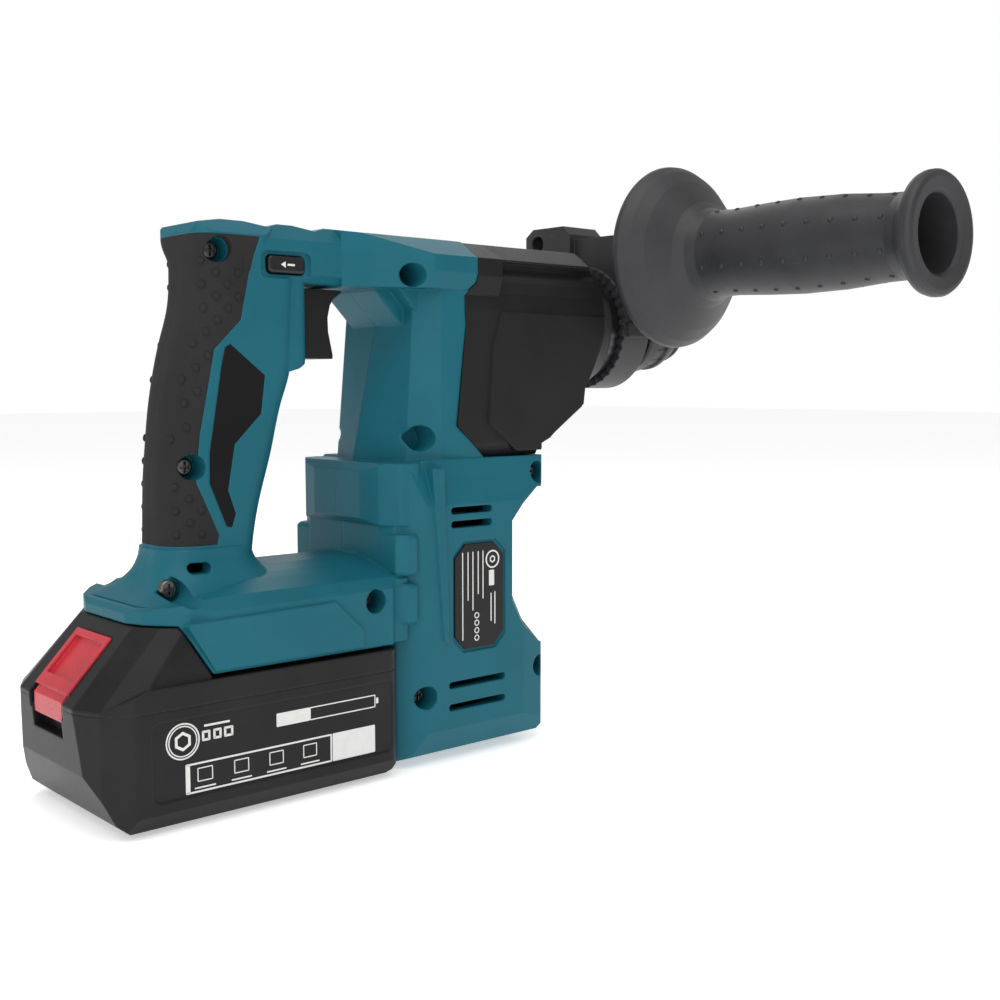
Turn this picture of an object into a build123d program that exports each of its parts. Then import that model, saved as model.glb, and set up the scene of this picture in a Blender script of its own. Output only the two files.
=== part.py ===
"""Cordless rotary hammer with a vertical motor, D-handle, slide-on battery and side handle.

Frame: x forward along the spindle, y to the left, z up. x = 0 is the motor's axis,
y = 0 is the plane where the two casing halves meet, z = 0 is what the tool stands on.
All lengths are millimetres.
"""
from build123d import *
from math import atan2, cos, pi, radians, sin
import os

# ---------------------------------------------------------------- driving dimensions
# Axes
SPINDLE_Z = 167.0            # height of the spindle axis
GEAR_CENTRES = 35.0          # spindle axis to countershaft axis
COUNTER_Z = SPINDLE_Z - GEAR_CENTRES
SIDE_HANDLE_X = 102.0        # middle of the side handle's clamp
SIDE_HANDLE_Z = 195.0        # axis of the side grip

# Casing
WALL = 3.0
TOP_Z = 198.6                # crown of the carrying beam
BEAM_Z = 178.5               # underside of the beam
LIP_Z = 193.0                # top of the soft cover and its flared lip
GRIP_HALF = 15.5             # half width of the main handle
BEAM_HALF = 16.0
SKIRT_HALF = 36.0            # half width of the skirt over the battery
MOTOR_HALF = 36.0            # half width of the motor casing
COVER_HALF = 31.0            # half width of the gear housing
BAND_HALF = 32.6             # half width of the band above it
SKIRT_Z = 49.0               # bottom edge of the skirt
FOOT_Z = 65.3                # bottom edge of the foot behind the skirt
ROOF_Z = 58.6                # roof of the battery slot
SLOT_HALF = 33.0             # half width of the battery slot
SEAM_GAP = 0.25              # visible seam between gear housing and casing
WAIST_X = 29.5               # front of the motor casing at its waist

# Running and moving clearances
RUN = 0.04                   # radial, on every running fit
FREE = 0.5                   # between pieces that move past each other

# Motor
SHAFT_R = 4.0
STATOR_R = 25.5
STATOR_BORE = 13.0
STATOR_Z = (35.0, 74.0)
ROTOR_R = 12.4
FAN_Z = (83.0, 94.0)
FAN_R = 25.0
MOTOR_BORE = 32.0            # inside radius of the motor casing
MOTOR_FRONT = 26.3           # inside of the casing's front wall
MOTOR_REAR = -29.5
SMALL_BEARING = (SHAFT_R + RUN, 11.0, 7.0)     # bore radius, outer radius, width
NEEDLE_BEARING = (SHAFT_R + RUN, 7.0, 4.0)
LOWER_BEARING_Z = 14.0
UPPER_BEARING_Z = 99.0

# Gears
BEVEL_PINION_TEETH = 8
BEVEL_GEAR_TEETH = 22
BEVEL_MODULE = 1.5
BEVEL_FACE = 5.5
SPUR_MODULE = 1.25
SPUR_PINION_TEETH = 14
SPUR_GEAR_TEETH = 42
SPUR_X = (34.0, 41.0)

# Hammer mechanism
COUNTER_SHAFT_X = (-15.5, 47.0)
COUNTER_REAR_X = -16.0       # rear bearing of the countershaft
COUNTER_FRONT_X = 43.3       # front bearing of the countershaft
WOBBLE_X = 22.0
WOBBLE_BALL_R = 10.0
WOBBLE_RING_R = 14.5
WOBBLE_WIDTH = 8.0
FINGER_R = 3.4
CYLINDER_BORE = 12.0
PISTON_BORE = 9.0
SPINDLE_OUT = 15.0
SPINDLE_REAR_X = 32.5
HOLDER_X = 96.0              # where the bit holder starts in the spindle
BOLT_R = 8.0
BIT_BORE_R = 5.05
BIT_BORE_X = (110.0, 151.0)
REAR_BEARING = (SPINDLE_OUT + RUN, 21.0, 7.0)
REAR_BEARING_X = 52.0
FRONT_BEARING = (12.5 + RUN, 18.5, 7.0)
FRONT_BEARING_X = 101.0
BARREL_R = 23.0
BARREL_X = (82.0, 114.0)
CHUCK_X = (121.0, 143.5)
CHUCK_R = 18.6
LOCK_BALL_X = 133.5
LOCK_BALL_R = 2.3
COUNTER_R = 5.0              # countershaft between its bearings
GEAR_TIP_R = SPUR_MODULE * SPUR_GEAR_TEETH / 2 + 0.8 * SPUR_MODULE
GEAR_ROOT_R = SPUR_MODULE * SPUR_GEAR_TEETH / 2 - 1.1 * SPUR_MODULE

# Controls
TRIGGER_TRAVEL = 6.0
TRIGGER_HALF = 7.5
BUTTON_X = (-74.5, -59.5)
BUTTON_Z = (181.2, 187.2)
MODE_X = 38.0
MODE_Z = 152.0
MODE_Y = (24.0, 32.0)        # inner and outer end of the selector's bush
OVERMOULD_SKIN = 2.0         # thickness of the soft cover on the main handle
CARRIER = ((-59, -41), (-14, 14), (ROOF_Z, 61.4))    # plate that holds the contact blades

# Battery
BATTERY_REAR_X = -151.0
BATTERY_FRONT_X = -35.0
BATTERY_HALF = 37.5
BATTERY_SEAM_Z = 40.0
LEDGE_Z = 47.5
SLIDE_BLOCK_Z = 57.4
RAIL_NECK = 27.0             # half width of the block between the rails
RAIL_FLANGE = 31.5
CELL_R = 9.1
CELL_LENGTH = 65.2
RELEASE_SLOPE = radians(47.2)
RELEASE_TOP = (-133.4, 60.3)  # upper end of the release button on the battery's slope
RELEASE_HALF = 12.8
RELEASE_LENGTH = 22.4
RELEASE_TRAVEL = 4.0
HUMP_LOW_Z = 41.4            # where the slope of the rear hump starts
HUMP_Z = 64.7                # top of the hump

# Side handle
CLAMP_WIDTH = 16.0
FLANGE_Y = -46.0
FLANGE_R = 37.0
GRIP_END_Y = -168.0
GRIP_END_R = 22.0
GRIP_BORE_R = 14.0
GAUGE_HOLE_R = 3.75
GAUGE_HOLE = (25.6, 205.6)   # y and z of the depth gauge hole
GAUGE_SIDE_Y = 33.2          # left end of the depth gauge block
NECK_REACH = 44.4
BOLT_SHANK_R = 3.5
BOLT_HEAD_R = 4.7
BOLT_HEAD_Y = (2.0, 6.5)
NUT_R = 8.5

# Fasteners
HEAD_R = 3.2
HEAD_HEIGHT = 2.4
SHANK_R = 2.0
HEAD_HOLE_R = 4.4
BLIND_HOLE = (-15.5, 122.5)  # x and z of the deep round recess in the upright

# Screws that hold the casing halves: x, z, y of the head's underside, length.
HANDLE_SCREWS = [(-93.2, 188.0, -7.0, 16.0), (-104.0, 114.8, -6.4, 15.0),
                 (-21.0, 182.5, -15.5, 30.0)]
CASE_SCREWS = [(-114.6, 74.8, -14.0, 27.0), (-44.5, 65.5, -27.0, 34.0),
               (-21.0, 26.5, -27.0, 34.0), (37.5, 30.5, -25.0, 34.0), (37.5, 108.0, -25.0, 34.0)]


# ---------------------------------------------------------------- shape helpers
def prism_y(points, low, high):
    """Solid with an (x, z) outline, from y = low to y = high."""
    outline = Polyline(*[(x, low, z) for x, z in points], close=True)
    return extrude(make_face(outline), amount=high - low, dir=(0, 1, 0))


def prism_z(points, low, high):
    """Solid with an (x, y) outline, from z = low to z = high."""
    outline = Polyline(*[(x, y, low) for x, y in points], close=True)
    return extrude(make_face(outline), amount=high - low, dir=(0, 0, 1))


def prism_x(points, low, high):
    """Solid with a (y, z) outline, from x = low to x = high."""
    outline = Polyline(*[(low, y, z) for y, z in points], close=True)
    return extrude(make_face(outline), amount=high - low, dir=(1, 0, 0))


def round_prism_y(points, radius, low, high):
    """As prism_y, with every corner of the outline rounded."""
    outline = FilletPolyline(*[(x, low, z) for x, z in points], radius=radius, close=True)
    return extrude(make_face(outline), amount=high - low, dir=(0, 1, 0))


def round_prism_z(points, radius, low, high):
    outline = FilletPolyline(*[(x, y, low) for x, y in points], radius=radius, close=True)
    return extrude(make_face(outline), amount=high - low, dir=(0, 0, 1))


def round_prism_x(points, radius, low, high):
    outline = FilletPolyline(*[(low, y, z) for y, z in points], radius=radius, close=True)
    return extrude(make_face(outline), amount=high - low, dir=(1, 0, 0))


def mirrored(points):
    """Points of one side, (y, z), followed by the same points on the other side."""
    return list(points) + [(-y, z) for y, z in reversed(points)]


def mirrored_plan(points):
    """Points of one side, (x, y), followed by the same points on the other side."""
    return list(points) + [(x, -y) for x, y in reversed(points)]


def block(x, y, z):
    """Box between the pairs x, y and z."""
    size = (x[1] - x[0], y[1] - y[0], z[1] - z[0])
    middle = ((x[0] + x[1]) / 2, (y[0] + y[1]) / 2, (z[0] + z[1]) / 2)
    return Pos(*middle) * Box(*size)


def rod_x(radius, x, y=0.0, z=SPINDLE_Z):
    return Pos((x[0] + x[1]) / 2, y, z) * Rot(0, 90, 0) * Cylinder(radius, x[1] - x[0])


def rod_y(radius, y, x, z):
    return Pos(x, (y[0] + y[1]) / 2, z) * Rot(90, 0, 0) * Cylinder(radius, y[1] - y[0])


def rod_z(radius, z, x=0.0, y=0.0):
    return Pos(x, y, (z[0] + z[1]) / 2) * Cylinder(radius, z[1] - z[0])


def turned_x(profile, z=SPINDLE_Z):
    """Solid turned about a line along x; profile is (x, radius) points."""
    outline = Polyline(*[(x, 0, z + r) for x, r in profile], close=True)
    return revolve(make_face(outline), axis=Axis((0, 0, z), (1, 0, 0)))


def turned_z(profile):
    """Solid turned about the motor's axis; profile is (radius, z) points."""
    outline = Polyline(*[(r, 0, z) for r, z in profile], close=True)
    return revolve(make_face(outline), axis=Axis.Z)


def bearing(sizes):
    """Sealed ball bearing about z, from z = 0 to its width, with its shield grooves."""
    bore, outer, width = sizes
    inner_edge = bore + (outer - bore) * 0.32
    outer_edge = bore + (outer - bore) * 0.74
    groove = 0.35
    profile = [(bore, 0), (inner_edge, 0), (inner_edge, groove), (outer_edge, groove),
               (outer_edge, 0), (outer, 0), (outer, width), (outer_edge, width),
               (outer_edge, width - groove), (inner_edge, width - groove),
               (inner_edge, width), (bore, width)]
    return turned_z(profile)


def bearing_on_x(sizes, x, z):
    return Pos(x, 0, z) * Rot(0, 90, 0) * bearing(sizes)


def fuse(shapes):
    """One solid from several that meet."""
    whole = shapes[0]
    for shape in shapes[1:]:
        whole = whole + shape
    return whole


# ---------------------------------------------------------------- gears
def spur_outline(teeth, module):
    """Points of a spur gear about z with a tooth centred on the x axis."""
    pitch = module * teeth / 2
    tip = pitch + 0.8 * module
    root = pitch - 1.1 * module
    step = 2 * pi / teeth
    points = []
    for n in range(teeth):
        for radius, share in ((root, -0.27), (tip, -0.11), (tip, 0.11), (root, 0.27)):
            angle = (n + share) * step
            points.append((radius * cos(angle), radius * sin(angle)))
    return points


def spur_gear(teeth, module, width, turn):
    """Spur gear along x from x = 0, its first tooth turned from +z by turn degrees."""
    blank = prism_z(spur_outline(teeth, module), 0, width)
    return Rot(0, 90, 0) * Rot(0, 0, 180 + turn) * blank


def bevel_gear(teeth, mate, module, face, back, bore):
    """Straight bevel gear about z with its apex at the origin and its back at z = back."""
    pitch = module * teeth / 2
    cone = atan2(teeth, mate)
    length = pitch / sin(cone)
    toe = (length - face) / length
    rise = 0.75 * module
    depth = 1.05 * module

    def on_cone(height):
        return pitch + height * cos(cone), pitch / teeth * mate - height * sin(cone)

    root_r, root_z = on_cone(-depth)
    tip_r, tip_z = on_cone(rise)
    sunk_r, sunk_z = on_cone(-depth - 0.4)
    blank = turned_z([(bore, root_z * toe), (root_r * toe, root_z * toe), (root_r, root_z),
                      (root_r * 0.86, back), (bore, back)])
    step = 2 * pi / teeth
    for n in range(teeth):
        ends = []
        for scale in (1.0, toe):
            corners = []
            for radius, height, share in ((sunk_r, sunk_z, -0.27), (tip_r, tip_z, -0.11),
                                          (tip_r, tip_z, 0.11), (sunk_r, sunk_z, 0.27)):
                angle = (n + share) * step
                corners.append((radius * scale * cos(angle), radius * scale * sin(angle),
                                height * scale))
            ends.append(make_face(Polyline(*corners, close=True)))
        blank = blank + loft(ends, ruled=True)
    return blank


# ---------------------------------------------------------------- casing
# Line where the gear housing leaves the casing, seen from the side, rear to bottom.
SEAM = [(13.5, 205), (6.5, 191), (6.5, 181), (1.5, 176), (2.0, 165), (-2.2, 127), (10.7, 114.7)]


def rear_curve():
    """Rear of the main handle, bottom to top, as (x, z) points of a smooth line."""
    return [(-114.2, 66), (-113.2, 86), (-112.8, 98), (-112.3, 110), (-111.3, 121), (-110.0, 133),
            (-107.8, 146), (-104.6, 159), (-101.8, 169), (-100.9, 178), (-100.9, 187)]


def front_curve():
    """Front of the main handle, top to bottom."""
    return [(-62.0, 152), (-63.5, 144), (-66.4, 136), (-70.6, 120), (-75.6, 103), (-78.4, 90),
            (-79.0, 66)]


def handle_column():
    """The part the hand closes around, with round edges."""
    rear = Spline(*[(x, -GRIP_HALF, z) for x, z in rear_curve()])
    front = Spline(*[(x, -GRIP_HALF, z) for x, z in front_curve()])
    top = Polyline((rear @ 1), (-60, -GRIP_HALF, 187), (front @ 0))
    bottom = Line((front @ 1), (rear @ 0))
    face = make_face([rear, *top.edges(), front, bottom])
    column = extrude(face, amount=2 * GRIP_HALF, dir=(0, 1, 0))
    long_edges = [e for e in column.edges() if e.length > 60 and abs(e.center().Y) > 1]
    rear_edges = [e for e in long_edges if e.center().X < -95]
    front_edges = [e for e in long_edges if e.center().X > -85 and e.center().Z < 150]
    column = fillet(rear_edges, 12.5)
    return column if not front_edges else fillet_near(column, front_edges, 8.0)


def fillet_near(solid, edges, radius):
    """Rounds the edges of solid whose middles are where the given edges' middles were."""
    wanted = [e.center() for e in edges]
    found = [e for e in solid.edges() if any((e.center() - w).length < 4 for w in wanted)]
    return fillet(found, radius)


def beam_section():
    return mirrored([(-BEAM_HALF + 3, BEAM_Z), (-BEAM_HALF, BEAM_Z + 3), (-BEAM_HALF, 192.8),
                     (-10.5, TOP_Z)])


def top_scales():
    """Shallow notches across the top, each a long ramp and a short step."""
    notches = []
    for x in (-72.0, -52.5, -33.0, -13.5, 24.5, 42.0, 59.0):
        notches.append(prism_y([(x - 9, TOP_Z + 0.02), (x - 9, TOP_Z + 3), (x + 4.5, TOP_Z + 3),
                                (x + 4.5, TOP_Z + 0.02), (x, TOP_Z - 1.5)], -40, 40))
    return notches


def shoulder():
    """The casing's wide upper band, which blends the beam into the gear housing."""
    plan = mirrored_plan([(-44, -BEAM_HALF), (-34, -20.5), (-14, -BAND_HALF),
                          (30, -BAND_HALF)])
    section = mirrored([(-COVER_HALF + 0.6, 178.0), (-BAND_HALF, 184.4), (-BAND_HALF, 190.2),
                        (-18.5, 197.4), (-10.5, TOP_Z)])
    return prism_z(plan, 174, 204) & prism_x(section, -60, 40)


def neck():
    """Upright between motor and beam, with soft vertical facets."""
    low = [(-29.2, 0), (-20.5, -22.5), (-9.0, -29.4), (4.0, -COVER_HALF), (24, -COVER_HALF)]
    high = [(-14.6, 0), (-15.5, -21.0), (-8.0, -28.8), (4.0, -COVER_HALF), (24, -COVER_HALF)]
    ends = []
    for points, z in ((low, 112.0), (high, 178.0)):
        loop = points + [(x, -y) for x, y in reversed(points) if y != 0]
        ends.append(make_face(Polyline(*[(x, y, z) for x, y in loop], close=True)))
    body = loft(ends, ruled=True)
    web = prism_y([(-30.5, 181), (-29.2, 177), (-17.2, 164.9), (0, 160), (0, 181)], -16, 16)
    wide_web = prism_y([(-26, 181), (-14, 168.5), (0, 164), (0, 181)], -22.5, 22.5)
    return body + web + wide_web


def motor_case():
    """Lower casing round the motor, as the common part of three outlines."""
    side = [(-33.5, 3), (-31, 0), (25, 0), (37.5, 4), (42, 9), (43.2, 15), (43.2, 35.5),
            (38.5, 41.5), (32, 50), (WAIST_X, 58.5), (WAIST_X, 90), (34.5, 96.5), (41.5, 102.5),
            (43.6, 105.5), (43.6, 114.7), (-20, 114.7), (-26, 110), (-33.5, 104)]
    plan = mirrored_plan([(-33.5, -23), (-31, -29), (-21, -MOTOR_HALF), (27, -MOTOR_HALF),
                          (38, -34.2), (42.6, -29.5), (43.6, -18)])
    section = mirrored([(-20, 0), (-32, 4), (-MOTOR_HALF, 13), (-MOTOR_HALF, 98),
                        (-33, 108), (-COVER_HALF - 0.6, 115)])
    case = prism_y(side, -50, 50) & round_prism_z(plan, 2.5, -1, 120) & prism_x(section, -60, 60)
    corner = [(39.7, 58.5), (39.7, 90), (44, 96.5), (49.5, 102.5), (80, 102.5), (80, 39.5),
              (50.5, 39.5), (43.5, 49)]
    for turn in (-42, 42):
        case = case - Rot(0, 0, turn) * prism_y(corner, -60, 60)
    return case + bearing_bulge()


def bearing_bulge():
    """Raised band round the back of the motor case at the upper bearing."""
    plan = mirrored_plan([(-36.4, -15), (-34.6, -24), (-29.4, -31.6), (-20, -33.6)])
    side = [(-10, 91), (-34.4, 91), (-38, 95), (-38, 109.4), (-33.4, 113.8), (-10, 113.8)]
    return round_prism_z(plan, 3.0, 91, 113.8) & prism_y(side, -40, 40)


def base_block():
    """Foot of the handle and the skirt that hangs over the battery."""
    side = [(-130, FOOT_Z), (-130, 68.6), (-128.4, 70.0), (-115, 72.2), (-70, 79), (-34, 79),
            (-28, 86), (-28, SKIRT_Z), (-109.5, SKIRT_Z), (-119.4, FOOT_Z)]
    section = [(-SKIRT_HALF, 40), (-SKIRT_HALF, 69.6), (-31.5, 73.2), (-22, 76.2), (-17.2, 77.4),
               (-9, 79.0), (-9, 95)]
    plan = mirrored_plan([(-130, -15), (-127.4, -22.5), (-122, -29.5), (-116.5, -33.6),
                          (-109, -SKIRT_HALF), (-37, -SKIRT_HALF), (-34, -33), (-25, -33)])
    body = prism_y(side, -50, 50) & prism_x(mirrored(section), -140, 0)
    return (body & round_prism_z(plan, 3.0, 40, 100)) + handle_flare()


def handle_flare():
    """Smooth sweep from the handle into its foot."""
    levels = [(87.2, -114.0, -77.9, 16.4, 13.0), (84.4, -114.2, -77.6, 16.6, 12.6),
              (81.4, -114.9, -76.4, 17.3, 12.4), (78.4, -116.1, -74.2, 19.2, 12.6),
              (75.6, -118.2, -71.0, 22.2, 13.5), (73.0, -121.6, -66.0, 26.0, 15.0),
              (70.6, -126.4, -58.0, 30.0, 16.0)]
    sections = [rounded_section(rear, front, half, radius, z)
                for z, rear, front, half, radius in levels]
    return loft(sections)


def skirt_panels():
    """Flat raised panel on each side of the skirt."""
    outline = [(-117.4, 66.4), (-62, 67.4), (-50.5, 56.5), (-50.5, 50), (-109.2, 50), (-118.4, 65.2)]
    reach = SKIRT_HALF + 0.9
    return prism_y(outline, -reach, -30) + prism_y(outline, 30, reach)


def switch_nose():
    """Front of the handle around the trigger."""
    outline = [(-92, 185), (-57, 185), (-57, 152.5), (-58.5, 150), (-61.5, 148.2), (-66, 147),
               (-74, 143), (-92, 143)]
    nose = prism_y(outline, -14.2, 14.2)
    front = [e for e in nose.edges() if e.center().X > -57.5 and e.length > 20]
    return fillet([e for e in front if abs(e.center().Y) > 10], 4.0)


def corner_pads():
    """Raised pads on the rear corners of the motor case, beside the skirt."""
    pads = []
    for low, high in ((55.0, 70.0), (73.0, 88.0)):
        pad = round_prism_z([(-33.4, -20), (-33.4, -32.6), (-29.4, -35.4), (-24.5, -35.4),
                             (-24.5, -20)], 1.4, low, high)
        ends = [e for e in pad.edges() if abs(e.center().Z - (low + high) / 2) > 7.4]
        outer = [e for e in ends if e.center().Y < -28]
        pad = chamfer(outer, 1.2)
        pads += [pad, mirror(pad, Plane.XZ)]
    return pads


def side_ribs():
    """Tall tapering rib behind the rating plate on each side."""
    outline = [(-19, 112), (-13.5, 112), (-11.2, 47), (-13.6, 47)]
    reach = MOTOR_HALF + 0.8
    return prism_y(outline, -reach, -28) + prism_y(outline, 28, reach)


def beam():
    return prism_x(beam_section(), -84, 0)


def rounded_section(rear, front, half, radius, z):
    """Rounded rectangle from x = rear to front, half wide to each side, at height z."""
    plane = Pos((rear + front) / 2, 0, z)
    return plane * RectangleRounded(front - rear, 2 * half, radius)


def handle_cap():
    """Flared lip at the top of the handle, and the beam's rear end above it."""
    lip = loft([rounded_section(-100.2, -70, 15.0, 12.0, 180.0),
                rounded_section(-101.1, -70, 16.0, 11.0, 187.0),
                rounded_section(-101.3, -70, 16.8, 9.2, 190.6),
                rounded_section(-101.3, -70, 16.9, 8.6, LIP_Z)])
    outline = [(-101.3, LIP_Z), (-101.0, 194.2), (-99.4, 197.0), (-90, TOP_Z), (-70, TOP_Z),
               (-70, LIP_Z)]
    section = mirrored([(-BEAM_HALF - 0.9, 180), (-BEAM_HALF - 0.9, 193.4), (-10.5, TOP_Z)])
    crown = prism_y(outline, -30, 30) & prism_x(section, -120, -60)
    plan = Pos(0, 0, 170) * extrude(rounded_section(-101.3, -70, 16.9, 8.6, 0), amount=40)
    return lip + (crown & plan)


def casing_outer():
    """Outside of the two casing halves together, before anything is cut."""
    body = fuse([motor_case(), base_block(), skirt_panels(), handle_column(), switch_nose(),
                 beam(), handle_cap(), shoulder(), neck(), side_ribs(), *corner_pads()])
    gear_zone = [*SEAM, (140, 114.7), (140, 205)]
    return body - prism_y(gear_zone, -60, 60)


def vents():
    """Air slots through both sides: short ones by the fan, long ones at the bottom."""
    slots = []
    for x, z in (((-9.7, 10.7), 95.6), ((-9.7, 10.7), 90.4), ((-11, 17.4), 29.5),
                 ((-11, 17.4), 21.0)):
        half = 1.35
        for y in ((-45, -26), (26, 45)):
            bar = block((x[0] + half, x[1] - half), y, (z - half, z + half))
            ends = [rod_y(half, y, x[0] + half, z), rod_y(half, y, x[1] - half, z)]
            slots += [bar, *ends]
    return slots


def label_outline(grow=0.0):
    """Eight-sided outline of the rating plate."""
    low_x, high_x, low_z, high_z = -7.8 - grow, 16.3 + grow, 42.5 - grow, 82.5 + grow
    cut = 5.0
    return [(low_x + cut, low_z), (high_x - cut, low_z), (high_x, low_z + cut),
            (high_x, high_z - cut), (high_x - cut, high_z), (low_x + cut, high_z),
            (low_x, high_z - cut), (low_x, low_z + cut)]


def cavities():
    """Everything the casing leaves open inside."""
    motor = turned_z([(0, WALL + 0.5), (26, WALL + 0.5), (MOTOR_BORE, 9), (MOTOR_BORE, 101),
                      (26.5, 109), (0, 109)]) & block((MOTOR_REAR, MOTOR_FRONT), (-40, 40), (0, 120))
    upright = turned_z([(0, 108), (25.5, 108), (25.5, 116), (0, 116)])
    upper = shaft_room()
    upper = upper + prism_x(mirrored([(-27.5, 121), (-27.5, 186), (-15, 194)]), -2.5, 30)
    upper = upper + rod_x(18.6, (-9.5, 15.5), z=COUNTER_Z)
    grip = prism_y([(-106, 90), (-105.6, 104), (-104, 124), (-101, 142), (-97.5, 158), (-94, 172),
                    (-94, 192), (-62, 192), (-62, 156), (-68, 148), (-75.5, 124), (-82, 100),
                    (-83, 90)], -11.5, 11.5)
    wider = prism_y([(-90, 150), (-90, 180), (-60.5, 180), (-60.5, 153)], -11.2, 11.2)
    tunnel = prism_x(mirrored([(-12.5, BEAM_Z + 3), (-12.5, 191), (-8, 195)]), -91, -4)
    foot = prism_x(mirrored([(-30, 61.4), (-30, 69.2), (-16, 73.8)]), -106, -52)
    foot = foot + block((-103, -84), (-11.5, 11.5), (70, 95))
    carrier = block(*CARRIER)
    return [motor, upright, upper, grip, wider, tunnel, foot, carrier]


def shaft_room():
    """Hollow of the upright, which follows its leaning rear wall."""
    low = mirrored_plan([(-23.3, -7), (-17.0, -20), (30, -20)])
    high = mirrored_plan([(-11.6, -7), (-11.0, -20), (30, -20)])
    ends = []
    for points, z in ((low, 112.0), (high, 178.0)):
        ends.append(make_face(Polyline(*[(x, y, z) for x, y in points], close=True)))
    return loft(ends, ruled=True) + block((-11, 30), (-20, 20), (177, 190))


def battery_slot():
    """Space under the skirt that the battery's block slides along, and its latch pocket."""
    slot = block((-140, -36.6), (-SLOT_HALF, SLOT_HALF), (40, ROOF_Z))
    pocket = block((-130, -105), (-9.5, 9.5), (ROOF_Z - 1, 65))
    return slot + pocket


def slot_rails():
    """Ribs inside the skirt that carry the battery."""
    ribs = []
    for side in (-1, 1):
        y = sorted((side * (RAIL_NECK + 0.6), side * (SLOT_HALF + 0.5)))
        ribs.append(block((-108, -40), y, (50.2, 53.2)))
    return ribs


def trigger_window():
    return block((-71, -50), (-TRIGGER_HALF - FREE, TRIGGER_HALF + FREE), (151.3, 177.6))


def rounded_bar_y(x, z, radius, y):
    """Bar along y with an x by z section whose corners are rounded."""
    return round_prism_y([(x[0], z[0]), (x[1], z[0]), (x[1], z[1]), (x[0], z[1])], radius, *y)


def button_window():
    x = (BUTTON_X[0] - 0.4, BUTTON_X[1] + 0.4)
    z = (BUTTON_Z[0] - 0.4, BUTTON_Z[1] + 0.4)
    return rounded_bar_y(x, z, 1.9, (-30, 30))


def button_frames():
    """Sunken field round the direction button on each side."""
    x = (BUTTON_X[0] - 2.6, BUTTON_X[1] + 2.6)
    z = (BUTTON_Z[0] - 1.6, BUTTON_Z[1] + 1.6)
    return [rounded_bar_y(x, z, 2.6, y) for y in ((-20, -14.8), (14.8, 20))]


def screw_bosses():
    """Posts through the hollow parts of the casing for the screws."""
    posts = [rod_y(5.6, (-13, 13), x, z) for x, z, _, _ in HANDLE_SCREWS]
    for x, z, _, _ in CASE_SCREWS:
        posts.append(rod_y(5.3, (-31, 31), x, z))
    for side in (-1, 1):
        posts.append(rod_y(6.6, sorted((side * 13.6, side * 30)), *BLIND_HOLE))
    return posts


def screw_holes():
    """Counterbore from the right, clearance to the parting plane, pilot in the left half."""
    holes = []
    for x, z, head_y, length in HANDLE_SCREWS + CASE_SCREWS:
        tip = head_y + length
        far = max(HEAD_HEIGHT - head_y, tip + 0.7)
        holes.append(rod_y(HEAD_HOLE_R, (-60, head_y), x, z))
        holes.append(rod_y(SHANK_R, (head_y - 0.5, tip), x, z))
        holes.append(rod_y(HEAD_HOLE_R, (far, 60), x, z))
    for side in (-1, 1):
        holes.append(rod_y(4.9, sorted((side * 16.4, side * 45)), *BLIND_HOLE))
    return holes


def lanyard_slot():
    """Slot through the foot for a wrist cord, with round ends."""
    x, z, half = (-106.0, -101.4), 81.0, 1.9
    bar = block(x, (-40, 40), (z - half, z + half))
    return fuse([bar, *[rod_y(half, (-40, 40), end, z) for end in x]])


def bearing_seat():
    """Cup in the casing's floor for the motor's lower bearing."""
    cup = turned_z([(SMALL_BEARING[1], LOWER_BEARING_Z), (SMALL_BEARING[1], 21), (15, 21), (17, 3),
                    (5.5, 3), (5.5, LOWER_BEARING_Z)])
    return cup


def overmould_outline():
    """Side outline of the soft cover on the rear of the handle."""
    return [(-130, 88.3), (-96.0, 88.3), (-95.2, 91.5), (-103.2, 109.5), (-103.0, 113),
            (-101.5, 126), (-98.6, 140), (-95.6, 154.5), (-85.4, 164.6), (-81.8, 181),
            (-78.4, LIP_Z), (-130, LIP_Z)]


def inlay_outline():
    """Side outline of the soft inlay ahead of the overmould."""
    return [(-91.6, 155.2), (-89.6, 156.4), (-76.2, 145.8), (-78.0, 132.6), (-88.6, 122.2),
            (-91.4, 106.6), (-88.6, 98.4), (-90.2, 93.8), (-92.2, 94.2), (-98.4, 109.2),
            (-98.2, 119.5), (-93.2, 148.5)]


def handle_skin(outer):
    """Outer layer of the handle, OVERMOULD_SKIN thick, within the overmould's outline."""
    zone = prism_y(overmould_outline(), -30, 30)
    thick = outer & zone
    core_rear = Spline(*[(x + OVERMOULD_SKIN, -13.5, z) for x, z in rear_curve()])
    top = Polyline((core_rear @ 1), (-98.9, -13.5, 194), (-70, -13.5, 194), (-70, -13.5, 66))
    face = make_face([core_rear, *top.edges(), Line(top @ 1, core_rear @ 0)])
    core = extrude(face, amount=27.0, dir=(0, 1, 0))
    edges = [e for e in core.edges() if e.length > 60 and e.center().X < -95]
    core = fillet(edges, 10.8)
    return thick - core


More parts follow.
